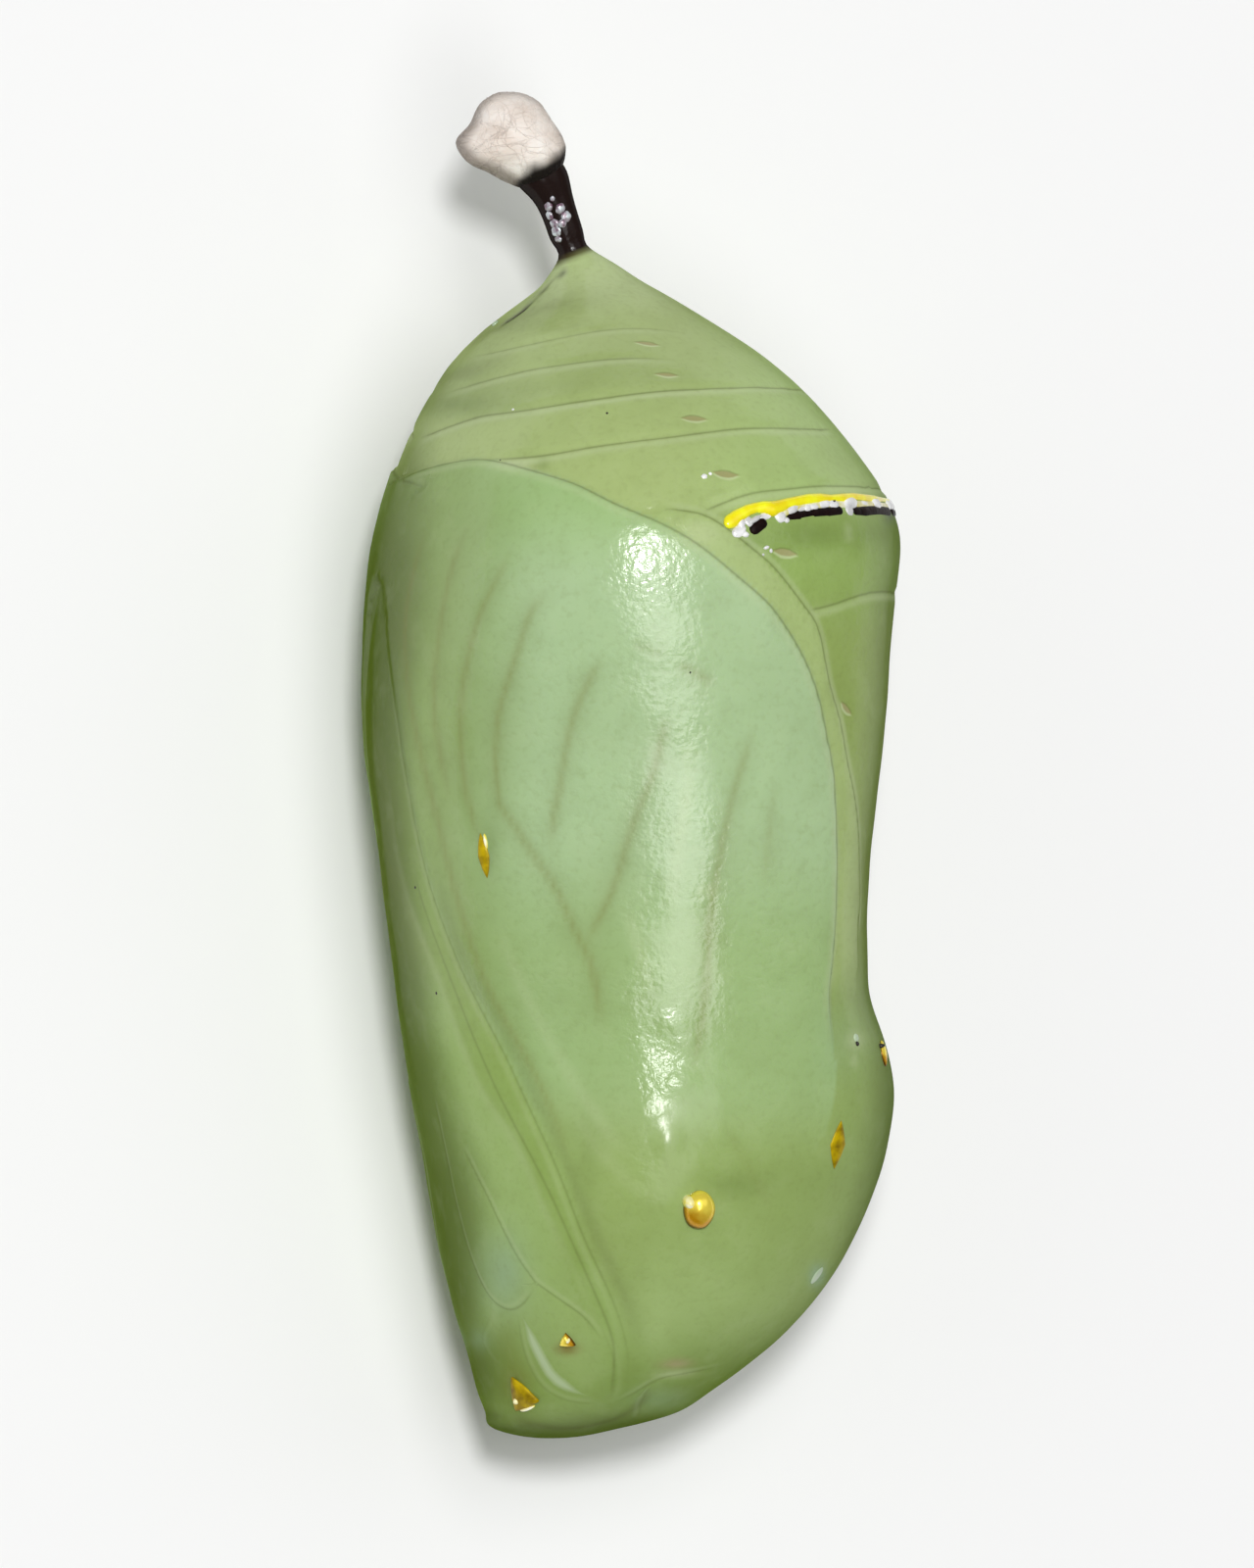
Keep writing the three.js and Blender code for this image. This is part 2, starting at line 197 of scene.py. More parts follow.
class BodyForm:
    """The bare form of the body: smooth cross-sections between the belly and the back."""

    BACK_FULLNESS = 0.09
    BELLY_FULLNESS = 0.034
    FIT_ROUNDS = 6
    FIT_ANGLES = 96
    FINE_STEPS = 3000
    LEAST_SPAN = 1e-4

    def __init__(self) -> None:
        """Fit one outline through the back, the head and the belly."""
        rows = np.array(SECTIONS)
        belly = rows[:, [1, 0, 4]]
        back = rows[:, [3, 2, 4]] * (1.0, 1.0, -1.0)
        self.last = len(rows) - 1
        self.outline = Spline(np.vstack([belly, back[-2::-1]]))
        crests = rows[:, 5:6]
        self.crests = Spline(np.vstack([crests, crests[-2::-1]]))

    def points(self, along: np.ndarray, angle: np.ndarray) -> np.ndarray:
        """Give points of the bare skin.

        Args:
            along: Shares of the length, from 0 at the stalk's tip to 1 at the head.
            angle: Angles round the body, from 0 at the back through the right side.

        Returns:
            An array of points, by along, then angle, then axis.
        """
        step = np.asarray(along) * self.last
        belly = self.outline.at(step)
        back = self.outline.at(2 * self.last - step)
        width = np.maximum(belly[:, 2:3], 0.0)
        middle = (belly[:, 0:1] + back[:, 0:1]) / 2.0
        crest = middle / math.cos(SEEN_TILT) + self.crests.at(step)
        ends = np.stack([belly[:, 0], back[:, 0]], axis=1) / math.cos(SEEN_TILT)
        turn = np.linspace(0.0, 2.0 * math.pi, self.FIT_ANGLES, endpoint=False)
        for _ in range(self.FIT_ROUNDS):
            across, out = self._section(ends, crest, width, turn)
            seen = across * math.cos(SEEN_TILT) + out * math.sin(SEEN_TILT)
            ends[:, 0] += (belly[:, 0] - seen.min(axis=1)) / math.cos(SEEN_TILT)
            ends[:, 1] += (back[:, 0] - seen.max(axis=1)) / math.cos(SEEN_TILT)
        across, out = self._section(ends, crest, width, np.asarray(angle))
        span = np.maximum(back[:, 0:1] - belly[:, 0:1], self.LEAST_SPAN)
        lean = (back[:, 1:2] - belly[:, 1:2]) / span
        lengthwise = (belly[:, 1:2] + back[:, 1:2]) / 2.0
        lengthwise = lengthwise + lean * (across * math.cos(SEEN_TILT) - middle)
        return np.stack([across, lengthwise, out], axis=2)

    def _section(
        self, ends: np.ndarray, crest: np.ndarray, width: np.ndarray, angle: np.ndarray
    ) -> tuple[np.ndarray, np.ndarray]:
        """Give cross-sections as smooth loops.

        Args:
            ends: Where each section starts at the belly and ends at the back.
            crest: Where each section is widest.
            width: Half of each section's width.
            angle: Angles to read the loops at.

        Returns:
            The X values and the Z values, by section and angle.
        """
        cosine, sine = np.cos(angle), np.sin(angle)
        mean = (self.BACK_FULLNESS + self.BELLY_FULLNESS) / 2.0
        swing = (self.BACK_FULLNESS - self.BELLY_FULLNESS) / 2.0
        full = mean + swing * cosine
        half = (ends[:, 1:2] - ends[:, 0:1]) / 2.0
        shift = (ends[:, 1:2] + ends[:, 0:1]) / 2.0 - crest
        across = crest + half * cosine * (1.0 + full * sine**2) + shift * cosine**2
        out = width * sine * (1.0 + full * cosine**2)
        return across, out

    def even_rings(self, count: int) -> np.ndarray:
        """Share the length out so that neighbouring rings are about equally far apart.

        Args:
            count: How many rings, with both ends.

        Returns:
            The rings' shares of the length.
        """
        fine = np.linspace(0.0, 1.0, self.FINE_STEPS)
        lines = self.points(fine, np.array([0.0, math.pi / 2.0, math.pi]))
        steps = np.linalg.norm(np.diff(lines, axis=0), axis=2).max(axis=1)
        travelled = np.concatenate([[0.0], np.cumsum(steps)])
        return np.interp(np.linspace(0.0, travelled[-1], count), travelled, fine)


class Canvas:
    """The bare skin's right half as a grid, with its normals, for drawing on."""

    AROUND = 320
    LENGTHWISE = 304
    TREE_AROUND = 120
    TREE_RINGS = 180
    # A ray starts this far off the long axis, and one that misses is moved inwards.
    RAY_START = 30.0
    RAY_TRIES = 60
    RAY_NARROWING = 0.99
    # The way to the back's middle has a place at every second column.
    WAY_STEP = 2

    def __init__(self, form: BodyForm) -> None:
        """Lay the grid out and index it for rays.

        Args:
            form: The body's bare form.
        """
        self.form = form
        self.rings = form.even_rings(self.LENGTHWISE + 1)
        self.angles = np.linspace(0.0, math.pi, self.AROUND // 2 + 1)
        self.places = form.points(self.rings, self.angles)
        self.normals = self._normals()
        self.flat_places = self.places.reshape(-1, 3)
        self.flat_normals = self.normals.reshape(-1, 3)
        self.tree = self._ray_tree()

    def _normals(self) -> np.ndarray:
        """Work out the outward normal at each grid point."""
        mirrored = np.concatenate(
            [
                self.places[:, 1:2] * (1, 1, -1),
                self.places,
                self.places[:, -2:-1] * (1, 1, -1),
            ],
            axis=1,
        )
        round_body = mirrored[:, 2:] - mirrored[:, :-2]
        down_body = np.gradient(self.places, axis=0)
        normal = np.cross(round_body, down_body)
        size = np.linalg.norm(normal, axis=2, keepdims=True)
        normal = normal / np.maximum(size, TINY)
        normal[0] = (-0.3, 0.95, 0.0)
        normal[-1] = (0.0, -1.0, 0.0)
        return normal

    def _ray_tree(self) -> BVHTree:
        """Build a tree of the whole skin that rays can be cast at."""
        turn = np.linspace(0.0, 2.0 * math.pi, self.TREE_AROUND, endpoint=False)
        grid = self.form.points(self.form.even_rings(self.TREE_RINGS), turn)
        rows, columns = grid.shape[:2]
        row = np.arange(rows - 1)[:, None] * columns
        column = np.arange(columns)[None, :]
        after = (column + 1) % columns
        faces = np.stack(
            [row + column, row + after, row + columns + after, row + columns + column], axis=2
        )
        return BVHTree.FromPolygons(
            grid.reshape(-1, 3).tolist(), faces.reshape(-1, 4).tolist()
        )

    def lift(self, across: float, lengthwise: float) -> tuple[np.ndarray, np.ndarray]:
        """Find where a point of the seen view lies on the skin.

        Args:
            across: The point's seen distance from the long axis.
            lengthwise: The point's distance from the head's tip.

        Returns:
            The place and the outward normal there, folded to the right side.
        """
        reach = across
        for _ in range(self.RAY_TRIES):
            start = SEEN_ACROSS * reach + LONG_AXIS * lengthwise + SEEN_AXIS * self.RAY_START
            place, normal, _, _ = self.tree.ray_cast(Vector(start), Vector(-SEEN_AXIS))
            if place is not None:
                break
            reach = reach * self.RAY_NARROWING
        place, normal = np.array(place), np.array(normal)
        if normal @ SEEN_AXIS < 0.0:
            normal = -normal
        flip = np.array([1.0, 1.0, -1.0 if place[2] < 0.0 else 1.0])
        return place * flip, normal * flip

    def lift_pixel(self, pixel: Pixel) -> tuple[np.ndarray, np.ndarray]:
        """Find where a pixel of the photograph lies on the skin, as lift does."""
        return self.lift(*seen_point(pixel))

    def way_to_back(self, start: np.ndarray) -> np.ndarray:
        """Go round the skin to the back's middle line, at one distance from the head.

        Args:
            start: Where to start, on the right side.

        Returns:
            Places on the way, the nearest first.
        """
        way = []
        for column in range(0, self.AROUND // 2, self.WAY_STEP):
            ring = int(np.abs(self.places[:, column, 1] - start[1]).argmin())
            point = self.places[ring, column]
            if point[2] >= start[2]:
                break
            way.append(np.array([point[0], start[1], point[2]]))
        return np.array(way[::-1]) if way else start[None, :]

    def past(self, place: np.ndarray, distance: float) -> tuple[np.ndarray, np.ndarray]:
        """Find a place further round the skin, towards the back's middle line.

        Args:
            place: Where to start, on the right side.
            distance: How far to go, in millimetres.

        Returns:
            The place and the outward normal there.
        """
        way = np.vstack([place, self.way_to_back(place)])
        spot = along_way(way, lengths_along(way), np.array([distance]))[0]
        nearest = ((self.flat_places - spot) ** 2).sum(axis=1).argmin()
        return spot, self.flat_normals[nearest]


def lengths_along(path: np.ndarray) -> np.ndarray:
    """Give the distance travelled along a path at each of its points."""
    return np.concatenate([[0.0], np.cumsum(np.linalg.norm(np.diff(path, axis=0), axis=1))])


def along_way(path: np.ndarray, travelled: np.ndarray, distances: np.ndarray) -> np.ndarray:
    """Give the places on a path at some distances along it."""
    return np.stack([np.interp(distances, travelled, path[:, axis]) for axis in range(3)], axis=1)


def seen_point(pixel: Pixel) -> tuple[float, float]:
    """Turn a pixel of the photograph into millimetres of the seen view.

    Args:
        pixel: Column and row.

    Returns:
        The distance from the long axis and from the head's tip.
    """
    column, row = pixel
    return (column - LONG_AXIS_COLUMN) * MM_PER_PIXEL, (HEAD_TIP_ROW - row) * MM_PER_PIXEL


@dataclass
class SkinLine:
    """A line drawn on the skin through pixels of the photograph.

    Attributes:
        pixels: The pixels it passes through, in order.
        strength: How strong it is, from 0 to 1.
        fade: Over how many millimetres it fades in and out at its ends.
        to_middle: Whether it goes on from its last pixel round to the back's middle line.
    """

    pixels: Sequence[Pixel]
    strength: float = 1.0
    fade: float = 0.6
    to_middle: bool = False
    path: np.ndarray = field(init=False, repr=False)
    travelled: np.ndarray = field(init=False, repr=False)
    seen_length: float = field(init=False, repr=False)

    STEP = 0.2
    ROUGH_STEPS = 12
    LEAST_STEPS = 4
    BATCH = 3_000_000

    def lay(self, canvas: Canvas) -> None:
        """Lay the line onto the skin.

        Args:
            canvas: The skin to draw on.
        """
        knots = np.array([seen_point(pixel) for pixel in self.pixels])
        spline = Spline(knots)
        rough = spline.at(np.linspace(0, len(knots) - 1, self.ROUGH_STEPS * len(knots)))
        reach = np.linalg.norm(np.diff(rough, axis=0), axis=1).sum()
        count = max(self.LEAST_STEPS, int(reach / self.STEP))
        seen = spline.at(np.linspace(0, len(knots) - 1, count))
        path = np.array([canvas.lift(*point)[0] for point in seen])
        if self.to_middle:
            path = np.vstack([path, canvas.way_to_back(path[-1])])
        self.path = path
        self.travelled = lengths_along(path)
        self.seen_length = float(self.travelled[count - 1])

    def measure(
        self, places: np.ndarray, normals: np.ndarray, reach: float = 0.6
    ) -> tuple[np.ndarray, np.ndarray, np.ndarray]:
        """Measure how far points of the skin lie from the line.

        Args:
            places: The points, with Z not below 0.
            normals: The skin's outward normals there.
            reach: How far off a point may be before it only counts as far.

        Returns:
            The signed distance, positive to the left of the line's way as seen from outside,
            the distance travelled along the line, and the line's strength there.
        """
        low = self.path.min(axis=0) - reach
        high = self.path.max(axis=0) + reach
        near = np.flatnonzero(((places > low) & (places < high)).all(axis=1))
        signed = np.full(len(places), reach)
        along = np.zeros(len(places))
        starts, steps = self.path[:-1], np.diff(self.path, axis=0)
        squares = np.maximum((steps**2).sum(axis=1), TINY)
        for part in np.array_split(near, max(1, len(near) * len(steps) // self.BATCH)):
            off = places[part][:, None, :] - starts[None]
            share = np.clip((off * steps[None]).sum(axis=2) / squares, 0.0, 1.0)
            gap = off - share[..., None] * steps[None]
            distance = np.sqrt((gap**2).sum(axis=2))
            best = distance.argmin(axis=1)
            rows = np.arange(len(part))
            side = np.cross(normals[part], steps[best])
            sign = np.where((gap[rows, best] * side).sum(axis=1) < 0.0, -1.0, 1.0)
            signed[part] = sign * np.minimum(distance[rows, best], reach)
            lengths = np.sqrt(squares)[best]
            along[part] = self.travelled[best] + share[rows, best] * lengths
        total = self.travelled[-1]
        strength = self.strength * smoothstep(along, 0.0, self.fade)
        if not self.to_middle:
            strength = strength * smoothstep(total - along, 0.0, self.fade)
        return signed, along, strength


class SeenRegion:
    """A closed outline in the photograph, which tells what lies inside it."""

    STEPS_BETWEEN = 5

    def __init__(self, pixels: Sequence[Pixel]) -> None:
        """Smooth the outline.

        Args:
            pixels: The pixels that it passes through, in order.
        """
        knots = np.array([seen_point(pixel) for pixel in (*pixels, pixels[0])])
        count = self.STEPS_BETWEEN * len(knots)
        self.outline = Spline(knots).at(np.linspace(0, len(knots) - 1, count))

    def holds(self, across: np.ndarray, lengthwise: np.ndarray) -> np.ndarray:
        """Tell which seen points lie inside, by counting the edges that each one is left of."""
        inside = np.zeros(len(across), bool)
        for (x0, y0), (x1, y1) in zip(self.outline, np.roll(self.outline, -1, axis=0)):
            if y0 == y1:
                continue
            passes = (lengthwise > min(y0, y1)) & (lengthwise <= max(y0, y1))
            edge = x0 + (lengthwise - y0) * (x1 - x0) / (y1 - y0)
            inside ^= passes & (across < edge)
        return inside


class LineLayer:
    """Lines that keep clear of each other, read together as the nearest one's distance."""

    NEAR = 0.34
    FAR = 9.0

    def __init__(self, lines: Sequence[SkinLine]) -> None:
        """Keep the lines."""
        self.lines = lines

    def measure(self, canvas: Canvas) -> np.ndarray:
        """Measure the layer over the canvas.

        Args:
            canvas: The skin that it is drawn on.

        Returns:
            A row for each grid point: signed distance, strength and distance along.
        """
        count = len(canvas.flat_places)
        result = np.zeros((count, 3))
        result[:, 0] = self.FAR
        for line in self.lines:
            line.lay(canvas)
            signed, along, strength = line.measure(canvas.flat_places, canvas.flat_normals)
            closer = np.abs(signed) < np.abs(result[:, 0])
            result[closer, 0] = signed[closer]
            result[closer, 1] = strength[closer]
            result[closer, 2] = along[closer]
        result[:, 1] *= smoothstep(np.abs(result[:, 0]), self.NEAR, self.NEAR * 0.5)
        return result


def finished_mesh(bm: bmesh.types.BMesh, name: str, outward: bool = False) -> bpy.types.Mesh:
    """Turn a modelled shape into a smooth mesh, and free the shape.

    Args:
        bm: The shape.
        name: The mesh's name.
        outward: Whether to turn all its faces outwards first.

    Returns:
        The mesh.
    """
    if outward:
        bmesh.ops.recalc_face_normals(bm, faces=bm.faces)
    mesh = bpy.data.meshes.new(name)
    bm.to_mesh(mesh)
    bm.free()
    mesh.shade_smooth()
    return mesh


def read_places(mesh: bpy.types.Mesh) -> np.ndarray:
    """Read the places of a mesh's vertices."""
    places = np.empty(len(mesh.vertices) * 3)
    mesh.vertices.foreach_get("co", places)
    return places.reshape(-1, 3)


def write_places(mesh: bpy.types.Mesh, places: np.ndarray) -> None:
    """Move a mesh's vertices to new places."""
    mesh.vertices.foreach_set("co", places.astype(np.float32).ravel())
    mesh.update()


def write_vectors(mesh: bpy.types.Mesh, name: str, values: np.ndarray) -> None:
    """Store three numbers for each vertex of a mesh as an attribute."""
    layer = mesh.attributes.new(name, "FLOAT_VECTOR", "POINT")
    layer.data.foreach_set("vector", values.astype(np.float32).ravel())


def sweep(
    bm: bmesh.types.BMesh, line: np.ndarray, side: np.ndarray, out: np.ndarray, segments: int
) -> Sequence[bmesh.types.BMVert]:
    """Sweep an oval along a line, drawn to a point at both ends.

    Args:
        bm: The mesh to add it to.
        line: The points that it follows.
        side: The oval's half width at each point, as a vector.
        out: The oval's half height at each point, as a vector.
        segments: How many segments round it has.

    Returns:
        The new vertices.
    """
    last = len(line) - 1
    made = bmesh.ops.create_uvsphere(bm, u_segments=segments, v_segments=last, radius=1.0)
    for vert in made["verts"]:
        ring = round(math.acos(max(-1.0, min(1.0, vert.co.z))) / math.pi * last)
        angle = math.atan2(vert.co.y, vert.co.x)
        vert.co = Vector(line[ring] + side[ring] * math.cos(angle) + out[ring] * math.sin(angle))
    return made["verts"]


class ShaderBuilder:
    """Writes a material's nodes."""

    def __init__(self, name: str) -> None:
        """Start a material with one Principled shader.

        Args:
            name: The material's name.
        """
        self.material = bpy.data.materials.new(name)
        self.material.use_nodes = True
        self.tree = self.material.node_tree
        self.tree.nodes.clear()
        self.shader = self.tree.nodes.new("ShaderNodeBsdfPrincipled")
        output = self.tree.nodes.new("ShaderNodeOutputMaterial")
        self.tree.links.new(self.shader.outputs[0], output.inputs[0])

    def set(self, **values: object) -> None:
        """Set the Principled shader's sockets, with _ for a space in their names."""
        for name, value in values.items():
            socket = self.shader.inputs[name.replace("_", " ")]
            if isinstance(value, bpy.types.NodeSocket):
                self.tree.links.new(value, socket)
            else:
                socket.default_value = value

    def node(self, kind: str, inputs: dict | None = None, **settings: object) -> bpy.types.Node:
        """Add a node.

        Args:
            kind: The node's type without its ShaderNode prefix.
            inputs: Values or sockets for its inputs, by name or number.
            settings: The node's own settings.

        Returns:
            The node.
        """
        node = self.tree.nodes.new("ShaderNode" + kind)
        for name, value in settings.items():
            setattr(node, name, value)
        for name, value in (inputs or {}).items():
            if isinstance(value, bpy.types.NodeSocket):
                self.tree.links.new(value, node.inputs[name])
            else:
                node.inputs[name].default_value = value
        return node

    def attribute(self, name: str) -> bpy.types.Node:
        """Add a node that reads a mesh attribute."""
        return self.node("Attribute", attribute_name=name)

    def split(self, vector: bpy.types.NodeSocket) -> Sequence[bpy.types.NodeSocket]:
        """Split a vector into its three numbers."""
        return self.node("SeparateXYZ", {0: vector}).outputs

    def math(self, operation: str, *values: object, clamp: bool = False) -> bpy.types.NodeSocket:
        """Add a math node and give its result."""
        inputs = dict(enumerate(values))
        node = self.node("Math", inputs, operation=operation, use_clamp=clamp)
        return node.outputs[0]

    def bell(self, value: object, centre: float, width: float) -> bpy.types.NodeSocket:
        """Give a bell curve over a number that is 1 at centre and falls off over width."""
        off = self.math("MULTIPLY", self.math("SUBTRACT", value, centre), 1.0 / width)
        return self.math("EXPONENT", self.math("MULTIPLY", self.math("MULTIPLY", off, off), -1.0))

    def mix(self, factor: object, first: object, second: object) -> bpy.types.NodeSocket:
        """Mix two colours, each a socket or a colour as seen on a screen."""
        node = self.node("Mix", {}, data_type="RGBA")
        for index, value in ((0, factor), (6, first), (7, second)):
            if isinstance(value, bpy.types.NodeSocket):
                self.tree.links.new(value, node.inputs[index])
            elif index == 0:
                node.inputs[index].default_value = value
            else:
                node.inputs[index].default_value = (*srgb(*value), 1.0)
        return node.outputs[2]

    def noise(self, scale: float, detail: float = 2.0, stretch: Vector | None = None) -> object:
        """Give noise over the object's own coordinates.

        Args:
            scale: Waves to the millimetre.
            detail: How many finer layers it has.
            stretch: How much finer it is along each axis.

        Returns:
            The noise's value, from 0 to 1.
        """
        coordinates = self.node("TexCoord").outputs["Object"]
        factor = Vector(stretch or (1.0, 1.0, 1.0)) * (scale / MM)
        mapping = self.node("Mapping", {"Vector": coordinates, "Scale": factor})
        inputs = {"Vector": mapping.outputs[0], "Scale": 1.0, "Detail": detail}
        return self.node("TexNoise", inputs).outputs["Fac"]

    def relief(
        self, height: object, distance: float, strength: float = 1.0, below: object = None
    ) -> object:
        """Turn a height into a bumped normal.

        Args:
            height: The height's socket.
            distance: How many millimetres a height of 1 is.
            strength: The bump's strength.
            below: A normal to add the bump to.

        Returns:
            The normal's socket.
        """
        inputs = {"Height": height, "Distance": distance * MM, "Strength": strength}
        if below is not None:
            inputs["Normal"] = below
        return self.node("Bump", inputs).outputs[0]


class Tone(Enum):
    """The skin's colours, as the flash-lit photograph shows them."""

    WING = (171, 198, 149)
    WING_LEFT = (144, 170, 100)
    WING_LOW = (156, 184, 123)
    WING_TOP = (160, 191, 128)
    ABDOMEN = (169, 188, 122)
    ABDOMEN_BACK = (174, 200, 128)
    BELOW_BAND = (150, 179, 98)
    HIND_STRIP = (168, 189, 122)
    THORAX = (148, 171, 101)
    HEAD = (114, 140, 54)
    # Dark olive, partly the belly's own darker green, partly painted shade where the skin turns away.
    BELLY_AND_EDGE_SHADE = (82, 102, 22)
    BACK = (148, 170, 94)
    ANTENNA = (144, 170, 94)
    LEGS = (154, 181, 109)
    NECK = (184, 202, 142)
    STALK = (32, 22, 20)
    STALK_EDGE = (74, 66, 34)
    PINK = (164, 156, 112)
    # Brown, partly the skin's own and partly painted shadow below the eye's knob.
    BROWN = (126, 104, 50)
    OLIVE_GOLD = (112, 116, 34)
    BLUISH = (150, 178, 142)
    # Darker green, partly the skin's own and partly painted shade in folds and hollows, under the raised
    # band and along the back's edge.
    DARK_GREEN_AND_SHADE = (96, 116, 52)
    # Grey, used as painted shade where the band turns away at the back's edge.
    GREY_EDGE_SHADE = (122, 126, 128)
    PALE = (196, 208, 160)
    EYE = (164, 188, 122)
    CHEEK = (166, 190, 124)

    @property
    def linear(self) -> np.ndarray:
        """The colour in linear values."""
        return srgb(*self.value)


@dataclass(frozen=True)
class Blot:
    """A soft patch of colour on the skin, round or oval.

    Attributes:
        pixel: Its middle in the photograph.
        size: Half its width and half its height, in pixels.
        tone: Its colour.
        share: How strong it is.
    """

    pixel: Pixel
    size: Pixel
    tone: Tone
    share: float

    def cover(self, across: np.ndarray, lengthwise: np.ndarray) -> np.ndarray:
        """Give how strongly the patch covers points of the seen view."""
        middle = seen_point(self.pixel)
        off_across = (across - middle[0]) / (self.size[0] * MM_PER_PIXEL)
        off_length = (lengthwise - middle[1]) / (self.size[1] * MM_PER_PIXEL)
        return self.share * np.exp(-(off_across**2) - off_length**2)


@dataclass(frozen=True)
class Hump:
    """A low swelling of the skin that catches the light.

    Attributes:
        pixel: Its middle in the photograph.
        size: Half its width and half its height, in pixels.
        rise: Its height in millimetres.
    """

    pixel: Pixel
    size: Pixel
    rise: float

    def height(self, across: np.ndarray, lengthwise: np.ndarray) -> np.ndarray:
        """Give the swelling's height at points of the seen view."""
        return self.rise * Blot(self.pixel, self.size, Tone.WING, 1.0).cover(across, lengthwise)


def ripples(places: np.ndarray, length: float, seed: int) -> np.ndarray:
    """Give gentle irregular waves.

    Args:
        places: Where to read them.
        length: The waves' length in millimetres.
        seed: Which of many patterns to take.

    Returns:
        The waves' height at each place, about -1 to 1.
    """
    chance = np.random.default_rng(seed)
    count = 7
    total = np.zeros(len(places))
    for _ in range(count):
        way = chance.normal(size=3)
        way *= 2.0 * math.pi / length / np.linalg.norm(way)
        total += np.sin(places @ way + chance.uniform(0.0, 2.0 * math.pi))
    return total / math.sqrt(count)


